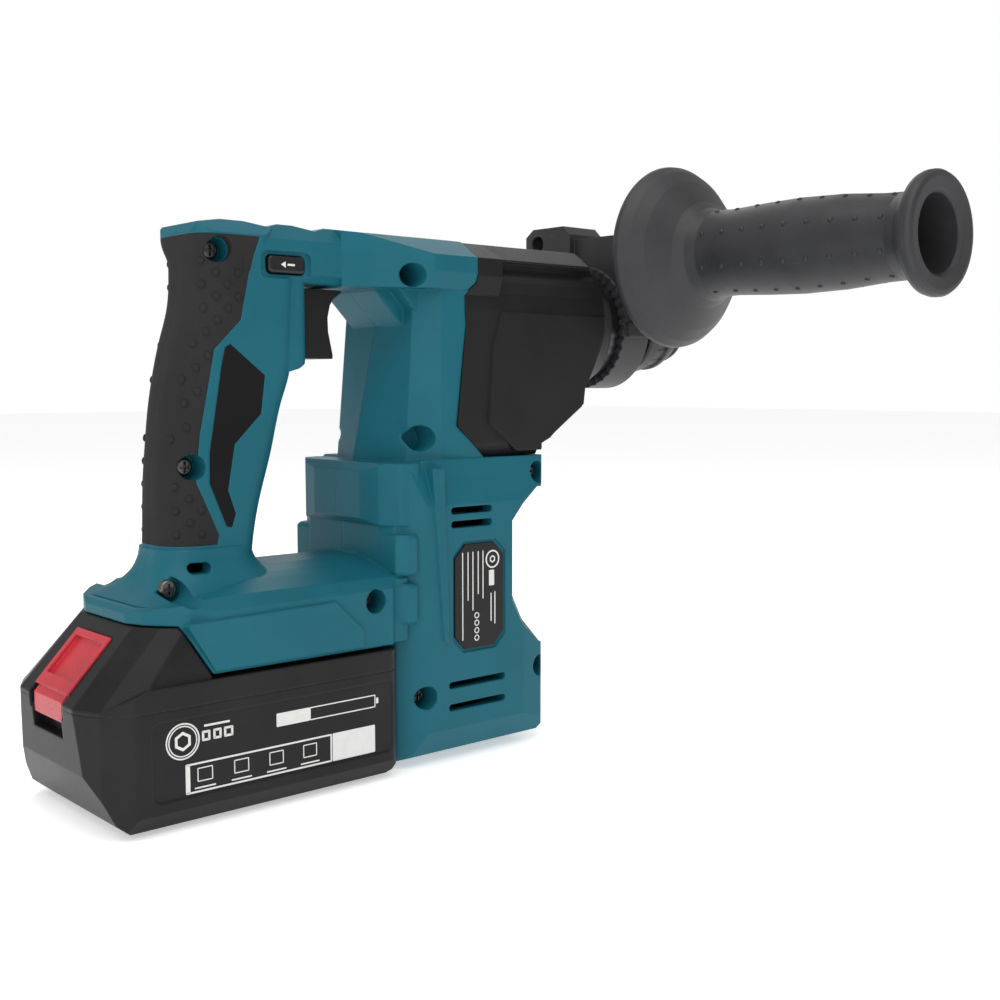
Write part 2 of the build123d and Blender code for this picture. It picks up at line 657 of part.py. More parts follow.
def casing_halves():
    """Right and left casing, the overmould's two halves and the two inlays."""
    outer = casing_outer()
    skin = handle_skin(outer)
    inlays = outer & (prism_y(inlay_outline(), -30, -14.3) + prism_y(inlay_outline(), 14.3, 30))
    shell = outer - skin - inlays
    hollow = shell
    for cut in [*cavities(), battery_slot(), *top_scales(), *vents()]:
        hollow = hollow - cut
    for post in screw_bosses():
        hollow = hollow + (post & shell)
    hollow = hollow - battery_slot()
    for rib in slot_rails():
        hollow = hollow + rib
    hollow = hollow + bearing_seat() - block(*CARRIER)
    cuts = [trigger_window(), button_window(), *button_frames(), *screw_holes(), lanyard_slot()]
    cuts += [prism_y(label_outline(1.2), -40, -MOTOR_HALF + 0.9)]
    cuts += [prism_y(label_outline(1.2), MOTOR_HALF - 0.9, 40)]
    for cut in cuts:
        hollow = hollow - cut
    for hole in screw_holes():
        skin = skin - hole
    right = block((-200, 200), (-80, 0), (-10, 220))
    left = block((-200, 200), (0, 80), (-10, 220))
    return {
        "housing_right": largest(hollow & right),
        "housing_left": largest(hollow & left),
        "grip_cover_right": largest(skin & right),
        "grip_cover_left": largest(skin & left),
        "inlay_right": largest(inlays & right),
        "inlay_left": largest(inlays & left),
    }


def largest(shape):
    """The biggest solid of a cut shape, without the crumbs a cut may leave."""
    return max(shape.solids(), key=lambda s: s.volume)


# ---------------------------------------------------------------- gear housing and barrel
def gear_housing():
    """Black housing of the gears and hammer mechanism, open to the rear and at the front."""
    zone = [(x + SEAM_GAP, z + (SEAM_GAP if z < 120 else 0)) for x, z in SEAM]
    side = [*zone, (40.5, 114.95), (40.5, 119.4), (46, 121.8), (66, 135), (74, 141), (90, 150),
            (90, 205)]
    section = mirrored([(-27.5, 114), (-COVER_HALF, 120), (-COVER_HALF, 171.5), (-29.6, 177.5),
                        (-29.6, 182), (-COVER_HALF, 190.3), (-18.5, 197.0), (-11, 198.1)])
    band = mirrored([(-COVER_HALF + 0.6, 176.5), (-BAND_HALF, 183.6), (-BAND_HALF, 190.2),
                     (-18.5, 197.0), (-11, 198.1)])
    panel = prism_y([(15.6, 158), (13.0, 127.5), (27, 116.8), (40, 116.8), (47, 123), (66, 136),
                     (78, 145), (78, 170.5), (20, 170.5)], -COVER_HALF - 0.9, COVER_HALF + 0.9)
    body = prism_x(section, -10, 95) + prism_x(band, -10, 19) + panel
    groove = prism_x([(-40, 190.3), (-28.2, 189.4), (-28.2, 186.8), (-29.8, 184.6), (-40, 184.6)],
                     19.01, 95)
    body = body - groove - mirror(groove, Plane.XZ)
    body = body & prism_y(side, -50, 50)
    nose = turned_x([(-20, 0), (-20, 80), (57, 80), (65, 41), (72, 34.5), (80, 29.5), (86, 26.8),
                     (86, 0)])
    body = body & nose
    inner_side = [(-20, 117.4), (38, 117.4), (38, 122), (44, 124.2), (64.5, 137.6), (72.5, 143),
                  (88, 152), (88, 194.4), (-20, 194.4)]
    inner_section = mirrored([(-28.2, 118), (-28.2, 174), (-26, 179), (-26, 187), (-17.5, 194.4)])
    inner = prism_y(inner_side, -40, 40) & prism_x(inner_section, -12, 95)
    inner = inner & turned_x([(-20, 0), (-20, 70), (54, 70), (63, 38), (70, 31.5), (78, 26.6),
                              (82, 24.5), (82, 0)])
    inner = inner + rod_x(GEAR_TIP_R + 1.0, (SPUR_X[0] - 2, SPUR_X[1] + 2))
    web = block((REAR_BEARING_X, REAR_BEARING_X + REAR_BEARING[2]), (-40, 40), (100, 200)) & inner
    low_web = block((COUNTER_FRONT_X, COUNTER_FRONT_X + NEEDLE_BEARING[2]), (-40, 40),
                    (100, SPINDLE_Z - 18)) & inner
    web = web - rod_x(REAR_BEARING[1], (REAR_BEARING_X - 1, REAR_BEARING_X + 9))
    body = body - inner + web + low_web
    body = body - rod_x(NEEDLE_BEARING[1], (COUNTER_FRONT_X - 1, COUNTER_FRONT_X + 4), z=COUNTER_Z)
    body = body - rod_x(10.4, (SPUR_X[0] - 1.5, SPUR_X[1] + 1.5), z=COUNTER_Z)
    body = body - rod_x(BARREL_R, (BARREL_X[0], 90))
    body = body - rod_x(18.6, (-9.5, 15.5), z=COUNTER_Z) - rod_x(16.2, (14, 32), z=COUNTER_Z)
    for notch in top_scales():
        body = body - notch
    body = body - rod_y(5.6, (MODE_Y[0], 40), MODE_X, MODE_Z)
    return largest(body)


def barrel():
    """Steel nose sleeve that carries the front bearing and the side handle's clamp."""
    return turned_x([(BARREL_X[0], 17.5), (BARREL_X[0], BARREL_R), (BARREL_X[1] - 1.2, BARREL_R),
                     (BARREL_X[1], BARREL_R - 1.2), (BARREL_X[1], 15.0), (110.5, 15.0),
                     (FRONT_BEARING_X + FRONT_BEARING[2], 17.0),
                     (FRONT_BEARING_X + FRONT_BEARING[2], FRONT_BEARING[1]),
                     (FRONT_BEARING_X, FRONT_BEARING[1]), (FRONT_BEARING_X, 17.5)])


def bearing_plate():
    """Cast plate between motor and gears, with the upright for the countershaft."""
    disc = turned_z([(SMALL_BEARING[1], 97.0), (30.5, 97.0), (30.5, 100.5), (14.5, 100.5),
                     (14.5, 107.6), (7.6, 107.6), (7.6, 106.0), (SMALL_BEARING[1], 106.0)])
    span = (COUNTER_REAR_X - 1.0, COUNTER_REAR_X + SMALL_BEARING[2])
    upright = block(span, (-12.5, 12.5), (100.0, COUNTER_Z))
    head = rod_x(12.5, span, z=COUNTER_Z)
    plate = (disc & block((MOTOR_REAR + 0.2, MOTOR_FRONT - 0.2), (-40, 40), (90, 120)))
    plate = plate + upright + head
    plate = plate - rod_z(SMALL_BEARING[1], (96, UPPER_BEARING_Z + SMALL_BEARING[2]))
    return plate - rod_x(SMALL_BEARING[1], (COUNTER_REAR_X, 0), z=COUNTER_Z)


def mode_knob():
    """Mode selector on the left: a disc with a grip bar and a stub through the wall."""
    disc = rod_y(13.0, (MODE_Y[1] + 0.9, MODE_Y[1] + 5), MODE_X, MODE_Z)
    edge = [e for e in disc.edges() if e.center().Y > MODE_Y[1] + 4]
    disc = fillet(edge, 1.4)
    bar = block((MODE_X - 11.5, MODE_X + 11.5), (MODE_Y[1] + 3, MODE_Y[1] + 11),
                (MODE_Z - 3.2, MODE_Z + 3.2))
    bar = fillet([e for e in bar.edges() if e.center().Y > MODE_Y[1] + 10], 1.6)
    stub = rod_y(5.6 - RUN, (MODE_Y[0] + 3, MODE_Y[1] + 3), MODE_X, MODE_Z)
    return disc + bar + stub


# ---------------------------------------------------------------- motor
def stator():
    ring = turned_z([(STATOR_R - 4, STATOR_Z[0]), (STATOR_R, STATOR_Z[0]), (STATOR_R, STATOR_Z[1]),
                     (STATOR_R - 4, STATOR_Z[1])])
    for n in range(6):
        turn = Rot(0, 0, 60 * n)
        tooth = block((STATOR_BORE + 1, STATOR_R - 3.5), (-3.2, 3.2), STATOR_Z)
        shoe = block((STATOR_BORE - 1, STATOR_BORE + 2.2), (-6.2, 6.2), STATOR_Z)
        ring = ring + turn * tooth + turn * shoe
    return ring - rod_z(STATOR_BORE, (STATOR_Z[0] - 1, STATOR_Z[1] + 1))


def stator_coils():
    """Six windings, each a loop round its tooth."""
    coils = []
    for n in range(6):
        outer = block((STATOR_BORE + 2.4, STATOR_R - 5.2), (-6.0, 6.0),
                      (STATOR_Z[0] - 3.0, STATOR_Z[1] + 3.0))
        inner = block((STATOR_BORE, STATOR_R), (-3.3, 3.3), (STATOR_Z[0] - 0.2, STATOR_Z[1] + 0.2))
        coils.append(Rot(0, 0, 60 * n) * largest(fillet(outer.edges().filter_by(Axis.X), 2.4) - inner))
    return Compound(children=coils)


def motor_shaft():
    return turned_z([(0, 13.0), (SHAFT_R - 0.4, 13.0), (SHAFT_R, 13.4), (SHAFT_R, 107.0), (2.5, 107.0),
                     (2.5, 117.5), (0, 117.5)])


def rotor_core():
    core = turned_z([(SHAFT_R, STATOR_Z[0]), (ROTOR_R, STATOR_Z[0]), (ROTOR_R, STATOR_Z[1]),
                     (SHAFT_R, STATOR_Z[1])])
    for n in range(8):
        core = core - Rot(0, 0, 45 * n) * rod_z(1.1, (STATOR_Z[0] - 1, STATOR_Z[1] + 1), x=8.6)
    return core


def cooling_fan():
    hub = turned_z([(SHAFT_R, FAN_Z[0]), (8.0, FAN_Z[0]), (10.0, FAN_Z[1] - 1.6),
                    (FAN_R, FAN_Z[1] - 1.6), (FAN_R, FAN_Z[1]), (SHAFT_R, FAN_Z[1])])
    blades = 11
    for n in range(blades):
        blade = block((8.5, FAN_R - 0.6), (-0.7, 0.7), (FAN_Z[0] + 1.0, FAN_Z[1] - 1.0))
        hub = hub + Rot(0, 0, 360 * n / blades) * Pos(0, 3.0, 0) * blade
    return hub


def bevel_pinion():
    gear = bevel_gear(BEVEL_PINION_TEETH, BEVEL_GEAR_TEETH, BEVEL_MODULE, BEVEL_FACE,
                      COUNTER_Z - 107.8, 2.5)
    return Pos(0, 0, COUNTER_Z) * Rot(180, 0, 0) * gear


def bevel_wheel():
    gear = bevel_gear(BEVEL_GEAR_TEETH, BEVEL_PINION_TEETH, BEVEL_MODULE, BEVEL_FACE, 11.5,
                      COUNTER_R)
    half_tooth = 180 / BEVEL_GEAR_TEETH
    return Pos(0, 0, COUNTER_Z) * Rot(0, 90, 0) * Rot(0, 0, half_tooth) * gear


# ---------------------------------------------------------------- countershaft and wobble drive
def countershaft():
    low, high = COUNTER_SHAFT_X
    return turned_x([(low, 0), (low, SHAFT_R), (COUNTER_REAR_X + 8.5, SHAFT_R),
                     (COUNTER_REAR_X + 8.5, COUNTER_R), (COUNTER_FRONT_X - 1.0, COUNTER_R),
                     (COUNTER_FRONT_X - 1.0, SHAFT_R), (high, SHAFT_R), (high, 0)], z=COUNTER_Z)


def wobble_hub():
    """Ball-shaped inner race on the countershaft."""
    half = WOBBLE_WIDTH / 2 + 0.6
    ball = Pos(WOBBLE_X, 0, COUNTER_Z) * Sphere(WOBBLE_BALL_R)
    ball = ball & rod_x(20, (WOBBLE_X - half, WOBBLE_X + half), z=COUNTER_Z)
    collar = rod_x(6.6, (WOBBLE_X - 9.5, WOBBLE_X + 9.5), z=COUNTER_Z)
    return ball + collar - rod_x(COUNTER_R, (0, 50), z=COUNTER_Z)


def drive_pinion():
    gear = spur_gear(SPUR_PINION_TEETH, SPUR_MODULE, SPUR_X[1] - SPUR_X[0] + 1.5,
                     180 / SPUR_PINION_TEETH)
    gear = Pos(SPUR_X[0] - 0.75, 0, COUNTER_Z) * gear
    return gear - rod_x(COUNTER_R, (SPUR_X[0] - 5, SPUR_X[1] + 5), z=COUNTER_Z)


def wobble_ring():
    """Outer ring with the finger that drives the piston."""
    half = WOBBLE_WIDTH / 2
    ring = rod_x(WOBBLE_RING_R, (WOBBLE_X - half, WOBBLE_X + half), z=COUNTER_Z)
    finger = rod_z(FINGER_R, (COUNTER_Z + WOBBLE_RING_R - 2.5, SPINDLE_Z + 3.5), x=WOBBLE_X)
    socket = Pos(WOBBLE_X, 0, COUNTER_Z) * Sphere(WOBBLE_BALL_R + RUN)
    return ring + finger - socket


def piston():
    """Hollow piston with a yoke behind it that takes the finger."""
    cup_x = (38.0, 66.0)
    cup = turned_x([(cup_x[0], 0), (cup_x[0], CYLINDER_BORE - RUN), (cup_x[1], CYLINDER_BORE - RUN),
                    (cup_x[1], PISTON_BORE), (42, PISTON_BORE), (42, 0)])
    yoke = block((WOBBLE_X - 7, WOBBLE_X + 7), (-7, 7), (SPINDLE_Z - 5, SPINDLE_Z + 5))
    yoke = fillet(yoke.edges().filter_by(Axis.Z), 3.0)
    stem = rod_x(4.6, (WOBBLE_X + 5, cup_x[0] + 1))
    eye = rod_z(FINGER_R + 1.2, (SPINDLE_Z - 9, SPINDLE_Z + 9), x=WOBBLE_X)
    return cup + yoke + stem - eye


def striker():
    r = PISTON_BORE - RUN
    return turned_x([(50, 0), (50, r - 0.8), (50.8, r), (54, r), (54, r - 0.9), (56.5, r - 0.9),
                     (56.5, r), (66, r), (70.5, 6.2), (70.5, 0)])


def impact_bolt():
    return turned_x([(84, 0), (84, 7.5), (84.6, CYLINDER_BORE - RUN - 0.6),
                     (85.2, CYLINDER_BORE - RUN), (88, CYLINDER_BORE - RUN), (89, BOLT_R - RUN),
                     (103, BOLT_R - RUN), (104, 4.4), (109, 4.4), (109.5, 3.9), (109.5, 0)])


# ---------------------------------------------------------------- spindle and chuck
def spindle():
    """Hammer tube: the cylinder that the piston, striker and bolt slide in."""
    tube = turned_x([(SPINDLE_REAR_X, CYLINDER_BORE), (SPINDLE_REAR_X, SPINDLE_OUT),
                     (80, SPINDLE_OUT), (82, 14), (HOLDER_X + 2, 14),
                     (HOLDER_X + 2, CYLINDER_BORE)])
    for angle in (0, 90, 180, 270):
        tube = tube - Pos(0, 0, SPINDLE_Z) * Rot(angle, 0, 0) * rod_z(1.6, (9, 17), x=74)
    return tube


def bit_holder():
    """Front of the spindle, with the bit's bore and the seats of the lock balls."""
    tube = turned_x([(HOLDER_X, BOLT_R), (HOLDER_X, CYLINDER_BORE), (HOLDER_X + 2, CYLINDER_BORE),
                     (HOLDER_X + 2, 12.5), (114, 12.5), (114.5, 11), (141, 11), (142, 9),
                     (BIT_BORE_X[1], 9), (BIT_BORE_X[1], BIT_BORE_R), (BIT_BORE_X[0], BIT_BORE_R),
                     (BIT_BORE_X[0], BOLT_R)])
    for side in (-1, 1):
        reach = sorted((side * 6, side * 12))
        tube = tube - rod_y(LOCK_BALL_R + 0.1, reach, LOCK_BALL_X, SPINDLE_Z)
    return tube


def spindle_gear():
    gear = Pos(SPUR_X[0], 0, SPINDLE_Z) * spur_gear(SPUR_GEAR_TEETH, SPUR_MODULE,
                                                    SPUR_X[1] - SPUR_X[0], 180)
    web = GEAR_ROOT_R - SPINDLE_OUT
    for angle in range(0, 360, 60):
        hole = rod_x(0.24 * web, (30, 60), z=SPINDLE_OUT + web / 2)
        gear = gear - Pos(0, 0, SPINDLE_Z) * Rot(angle, 0, 0) * hole
    return gear - rod_x(SPINDLE_OUT, (30, 60))


def lock_balls():
    balls = [Pos(LOCK_BALL_X, side * 8.5, SPINDLE_Z) * Sphere(LOCK_BALL_R) for side in (-1, 1)]
    return Compound(children=balls)


def spring_seat():
    return turned_x([(116.2, 11), (116.2, 15.0), (118.2, 15.0), (118.2, 11)])


def chuck_spring():
    """Sleeve return spring, drawn as it lies when the sleeve is pulled back."""
    coils = []
    for n in range(3):
        middle = 119.3 + 2.3 * n
        coils.append(Pos(middle, 0, SPINDLE_Z) * Rot(0, 90, 0) * Torus(13.6, 0.9))
    bars = []
    for n in range(2):
        low = 119.3 + 2.3 * n
        turn = Rot(120 * n, 0, 0)
        bars.append(Pos(0, 0, SPINDLE_Z) * turn * rod_x(0.7, (low, low + 2.3), z=13.6))
    return fuse([*coils, *bars])


def chuck_sleeve():
    """Sleeve that the user pulls back to free the bit, with finger grooves."""
    low, high = CHUCK_X
    waist = CHUCK_R - 1.5
    land = (131.0, 136.0)        # ring that keeps the lock balls in
    outer = turned_x([(low, 15.6), (low, CHUCK_R - 0.8), (low + 1, CHUCK_R), (low + 6, CHUCK_R),
                      (low + 7.5, waist), (low + 13, waist - 0.4), (low + 14, CHUCK_R - 1.0),
                      (low + 16, CHUCK_R - 1.2), (low + 18, 15.4), (high - 0.8, 14.6),
                      (high, 13.9), (high, 12.5), (land[1], 12.5), (land[1], 11 + RUN),
                      (land[0], 11 + RUN), (land[0], 15.6)])
    for n in range(18):
        groove = rod_x(1.0, (low + 7.8, low + 13.4), z=CHUCK_R - 1.1)
        outer = outer - Pos(0, 0, SPINDLE_Z) * Rot(20 * n, 0, 0) * groove
    return outer


def dust_cap():
    """Rubber cap that seals the bit's hole."""
    x = CHUCK_X[1] + 0.6
    return turned_x([(x, 9), (x, 13.4), (x + 1.5, 13.8), (x + 4, 12.8), (x + 7.6, 10.0), (x + 10, 9.0),
                     (x + 10, 6.0), (BIT_BORE_X[1], 6.4), (BIT_BORE_X[1], 9)])


# ---------------------------------------------------------------- controls and electrics
def trigger():
    """Finger lever with a hooked top, and the block that slides in the handle."""
    outline = [(-64, 152.0), (-42.6, 152.0), (-41.6, 153.4), (-42.4, 157), (-43.5, 162),
               (-43.7, 167), (-42.6, 171.6), (-40.6, 174.8), (-38.6, 176.2), (-38.6, 177.1),
               (-64, 177.1)]
    lever = prism_y(outline, -TRIGGER_HALF, TRIGGER_HALF)
    front = [e for e in lever.edges() if abs(abs(e.center().Y) - TRIGGER_HALF) < 0.1
             and e.center().X > -48 and 153.5 < e.center().Z < 175.4]
    return chamfer(front, 1.3)


def switch_body():
    body = block((-88.5, -71.0), (-9, 9), (153.5, 175.5))
    for z in (159.0, 170.0):
        body = body - block((-89, -70), (-10, -8.4), (z - 0.5, z + 0.5))
    return body + block((-86, -82), (-6, 6), (149.5, 154))


def direction_button():
    """Cross bar that picks forward or reverse, pushed from either side."""
    bar = rounded_bar_y(BUTTON_X, BUTTON_Z, 1.6, (-16.4, 16.4))
    ends = [e for e in bar.edges() if abs(e.center().Y) > 16]
    return fillet(ends, 0.9)


def control_board():
    plate = block((-102, -58), (-26, 26), (62.2, 63.8))
    sink = block((-84, -62), (-22, 22), (63.8, 65.8))
    for n in range(9):
        y = -20 + 5 * n
        sink = sink + block((-84, -62), (y - 0.8, y + 0.8), (65.8, 69.6))
    parts = [block((-99, -89), (-20, -8), (63.8, 68)), block((-99, -89), (2, 12), (63.8, 67))]
    return fuse([plate, sink, *parts])


def terminal_block():
    """Contact blades that reach down into the battery."""
    carrier = block(*CARRIER)
    for y in (-10.5, -3.5, 3.5, 10.5):
        carrier = carrier + block((-57, -43), (y - 0.5, y + 0.5), (51.0, ROOF_Z + 0.5))
    return carrier


def rating_plate(side):
    """Eight-sided plate in its recess; side is -1 on the right, 1 on the left."""
    inner = side * (MOTOR_HALF - 0.9)
    outer = side * (MOTOR_HALF - 0.1)
    return prism_y(label_outline(), min(inner, outer), max(inner, outer))


def screw(x, z, head_y, length):
    """Cross-head screw that enters along +y, with its head's underside at head_y."""
    head = rod_y(HEAD_R, (head_y - HEAD_HEIGHT, head_y), x, z)
    rim = [e for e in head.edges() if e.center().Y < head_y - HEAD_HEIGHT + 0.1]
    head = fillet(rim, 1.0)
    shank = rod_y(SHANK_R, (head_y - 0.1, head_y + length), x, z)
    whole = head + shank
    for size in ((1.9, 0.45), (0.45, 1.9)):
        whole = whole - block((x - size[0], x + size[0]), (head_y - HEAD_HEIGHT - 1, head_y - 1.0),
                              (z - size[1], z + size[1]))
    return whole


def screw_group(screws):
    return Compound(children=[screw(*sizes) for sizes in screws])


# ---------------------------------------------------------------- battery
def battery_plan():
    """Outline of the battery from above."""
    return mirrored_plan([(BATTERY_REAR_X, -21), (-146.0, -31), (-137.4, -BATTERY_HALF),
                          (BATTERY_FRONT_X, -BATTERY_HALF)])


def battery_lower():
    side = [(BATTERY_REAR_X, BATTERY_SEAM_Z), (-149.5, 20), (-143, 5), (-137, 0), (-44, 0),
            (-37.5, 2.8), (BATTERY_FRONT_X, 9), (BATTERY_FRONT_X, BATTERY_SEAM_Z)]
    section = mirrored([(-29, -0.01), (-34.6, 1.8), (-BATTERY_HALF, 7), (-BATTERY_HALF, 60)])
    body = prism_y(side, -60, 60) & round_prism_z(battery_plan(), 4.5, -1, BATTERY_SEAM_Z)
    body = body & prism_x(section, -170, -20)
    inner = prism_y([(-146, BATTERY_SEAM_Z + 1), (-144, 20), (-137, 3), (-45, 3), (-38, 9),
                     (-38, BATTERY_SEAM_Z + 1)], -34.5, 34.5)
    inner = inner & prism_z(mirrored_plan([(-146, -19), (-142, -28), (-136, -34.5), (-38, -34.5)]),
                            0, 60)
    body = body - inner
    tongue_gap = block((-155, -146), (-11.6, 11.6), (30.0, 45))
    for side_sign in (-1, 1):
        edge = sorted((side_sign * (BATTERY_HALF - 0.5), side_sign * (BATTERY_HALF + 1)))
        body = body - round_prism_y([(-132.5, 10.5), (-38.5, 10.5), (-38.5, 36.5), (-132.5, 36.5)],
                                    3.0, *edge)
    return largest(body - tongue_gap - release_pocket())


def on_slope(along, height):
    """Point (x, z) on the battery's slope, along it downhill and height above it."""
    return (RELEASE_TOP[0] - cos(RELEASE_SLOPE) * along - sin(RELEASE_SLOPE) * height,
            RELEASE_TOP[1] - sin(RELEASE_SLOPE) * along + cos(RELEASE_SLOPE) * height)


def release_slab(grow, length):
    """Slab along the battery's rear slope; grow widens it, length carries it downhill."""
    reach = RELEASE_LENGTH + length
    proud, sunk = 0.6 + grow * 6, -3.4 - grow
    corners = [on_slope(-grow, proud), on_slope(reach, proud), on_slope(reach, sunk),
               on_slope(-grow, sunk)]
    half = RELEASE_HALF + grow
    return prism_y(corners, -half, half)


def release_pocket():
    """Room round the button for its travel downhill."""
    return release_slab(0.35, RELEASE_TRAVEL + 3.0)


def rear_hump():
    """Rear of the upper case, which leans forward from the seam to the skirt."""
    rise = (HUMP_Z - HUMP_LOW_Z) / sin(RELEASE_SLOPE) * cos(RELEASE_SLOPE)
    top_x = BATTERY_REAR_X + rise
    low = mirrored_plan([(BATTERY_REAR_X, -21), (-146.0, -31), (-137.4, -BATTERY_HALF + 0.3),
                         (-105, -36.4)])
    high = mirrored_plan([(top_x, -20), (top_x + 5.2, -28.6), (top_x + 11.5, -33.2), (-105, -34.2)])
    ends = []
    for points, z in ((low, HUMP_LOW_Z), (high, HUMP_Z)):
        outline = FilletPolyline(*[(x, y, z) for x, y in points], radius=3.0, close=True)
        ends.append(make_face(outline))
    hump = loft(ends, ruled=True)
    foot = extrude(ends[0], amount=HUMP_LOW_Z - BATTERY_SEAM_Z, dir=(0, 0, -1))
    front = prism_y([(-160, BATTERY_SEAM_Z - 1), (-160, HUMP_Z + 5), (-123, HUMP_Z + 5),
                     (-110.3, 48.6), (-110.3, BATTERY_SEAM_Z - 1)], -60, 60)
    return (hump + foot) & front


def battery_upper():
    low = BATTERY_SEAM_Z
    taper = [(BATTERY_FRONT_X, low), (BATTERY_FRONT_X, LEDGE_Z), (-133, LEDGE_Z), (-147, low + 1.0),
             (BATTERY_REAR_X, low + 1.0), (BATTERY_REAR_X, low)]
    ledge = round_prism_z(battery_plan(), 4.5, low, LEDGE_Z) & prism_y(taper, -60, 60)
    block_low = block((-116, BATTERY_FRONT_X - 2), (-RAIL_NECK, RAIL_NECK), (LEDGE_Z - 1, 54.0))
    block_top = block((-116, BATTERY_FRONT_X - 2), (-RAIL_FLANGE, RAIL_FLANGE), (53.8, SLIDE_BLOCK_Z))
    body = fuse([ledge, rear_hump(), block_low, block_top])
    inner = block((-144, -38), (-33.5, 33.5), (low - 1, 44.5))
    inner = inner & prism_z(mirrored_plan([(-146, -19), (-142, -28), (-136, -34.5), (-38, -34.5)]),
                            0, 60)
    inner = inner + prism_y([(-141, 44), (-128, 58), (-122, 60), (-116, 54), (-60, 54), (-60, 44)],
                            -25, 25)
    body = body - inner
    body = body - release_pocket()
    body = body - block((-155, -146), (-11.6, 11.6), (30, 43))
    for y in (-10.5, -3.5, 3.5, 10.5):
        body = body - block((-59, -30), (y - 1.3, y + 1.3), (49.5, 60))
        body = body - block((-57, -45), (y - 2.6, y + 2.6), (44.0, 49.6))
    return largest(body - latch_way())


def latch_way():
    """Room in the upper case for the latch and its travel."""
    outline = [(-112.4, 47.0), (-112.4, 66), (-118.5, 66), (-121, 57.2), (-128.4, 61.0),
               (-131.2, 58.0), (-138.6, 50.0), (-124.5, 46.0)]
    return prism_y(outline, -5.9, 5.9)


def release_button():
    """Red pad on the battery's slope, with a dished face and a tongue below it."""
    dish = round_prism_y([on_slope(2.6, 2), on_slope(17.8, 2), on_slope(17.8, -0.8),
                          on_slope(2.6, -0.8)], 0.4, -RELEASE_HALF + 2.4, RELEASE_HALF - 2.4)
    tongue = block((-150.2, -147.0), (-11.0, 11.0), (35.0, 46.0))
    above = prism_y([on_slope(-5, -0.4), on_slope(40, -0.4), on_slope(40, 20), on_slope(-5, 20)],
                    -30, 30)
    return release_slab(0.0, 0.0) - dish + (tongue - above)


def release_latch():
    """Hook that holds the battery in the skirt, on an arm under the button."""
    hook = prism_y([(-121, 51), (-113.4, 51), (-113.4, 62.4), (-115.6, 63.2), (-118.6, 60.5),
                    (-121, 55.5)], -5.4, 5.4)
    low_end = on_slope(6.0, -3.4)
    high_end = on_slope(1.5, -3.4)
    arm = prism_y([(-120, 51.2), (-120, 55.4), high_end, low_end], -5.4, 5.4)
    return hook + arm


def battery_cells():
    """Two rows of round cells lying across the pack."""
    cells = []
    pitch = 2 * CELL_R + 0.6
    for row in range(2):
        for n in range(5):
            x = -128.2 + pitch * n
            z = 3.4 + CELL_R + row * (2 * CELL_R + 0.1)
            body = rod_y(CELL_R, (-CELL_LENGTH / 2, CELL_LENGTH / 2), x, z)
            cells.append(body)
    return Compound(children=cells)


def battery_contacts():
    """Spring clips inside the battery's slots."""
    clips = []
    for y in (-10.5, -3.5, 3.5, 10.5):
        foot = block((-56, -46), (y - 2.6, y + 2.6), (44.6, 45.4))
        left = block((-56, -46), (y - 2.6, y - 1.5), (45.4, 49.4))
        right = block((-56, -46), (y + 1.5, y + 2.6), (45.4, 49.4))
        clips.append(fuse([foot, left, right]))
    return Compound(children=clips)


# ---------------------------------------------------------------- side handle
def clamp_bracket():
    """Saddle on the barrel with the neck to the grip and the depth gauge block."""
    low = SIDE_HANDLE_X - CLAMP_WIDTH / 2
    high = SIDE_HANDLE_X + CLAMP_WIDTH / 2
    saddle = rod_x(27.0, (low, high)) & block((low, high), (-40, 40), (SPINDLE_Z + 2, 220))
    neck_low = prism_x([(-28, 184), (-NECK_REACH, 187.0), (-NECK_REACH, 205), (-36, 206.4),
                        (8, 206.4), (8, 188)], low + 1, high - 1)
    gauge = prism_x([(5, 186), (5, 208.6), (9, 212.4), (28.5, 212.4), (GAUGE_SIDE_Y, 209),
                     (GAUGE_SIDE_Y, 191), (26, 184), (16, 184)], low - 2, high + 2)
    collar = rod_y(9.5, (-NECK_REACH - 0.9, -36), SIDE_HANDLE_X, SIDE_HANDLE_Z)
    body = fuse([saddle, neck_low, gauge, collar])
    body = body - rod_x(BARREL_R + RUN, (low - 5, high + 5))
    body = body - rod_x(GAUGE_HOLE_R, (low - 10, high + 10), y=GAUGE_HOLE[0], z=GAUGE_HOLE[1])
    body = body - rod_y(BOLT_SHANK_R, (-60, BOLT_HEAD_Y[0] + 1), SIDE_HANDLE_X, SIDE_HANDLE_Z)
    slot = block((SIDE_HANDLE_X - BOLT_HEAD_R - 0.3, SIDE_HANDLE_X + BOLT_HEAD_R + 0.3),
                 (BOLT_HEAD_Y[0], BOLT_HEAD_Y[1] + 0.5), (186, SIDE_HANDLE_Z))
    pocket = rod_y(BOLT_HEAD_R + 0.3, (BOLT_HEAD_Y[0], BOLT_HEAD_Y[1] + 0.5), SIDE_HANDLE_X,
                   SIDE_HANDLE_Z)
    body = body - slot - pocket
    return body - clamp_teeth(low)


def clamp_teeth(low):
    """Ratchet notches round the clamp's rear edge."""
    notches = None
    for n in range(36):
        notch = Pos(0, 0, SPINDLE_Z) * Rot(10 * n, 0, 0) * rod_z(1.1, (22.5, 27.6), x=low - 0.2)
        notches = notch if notches is None else notches + notch
    return notches


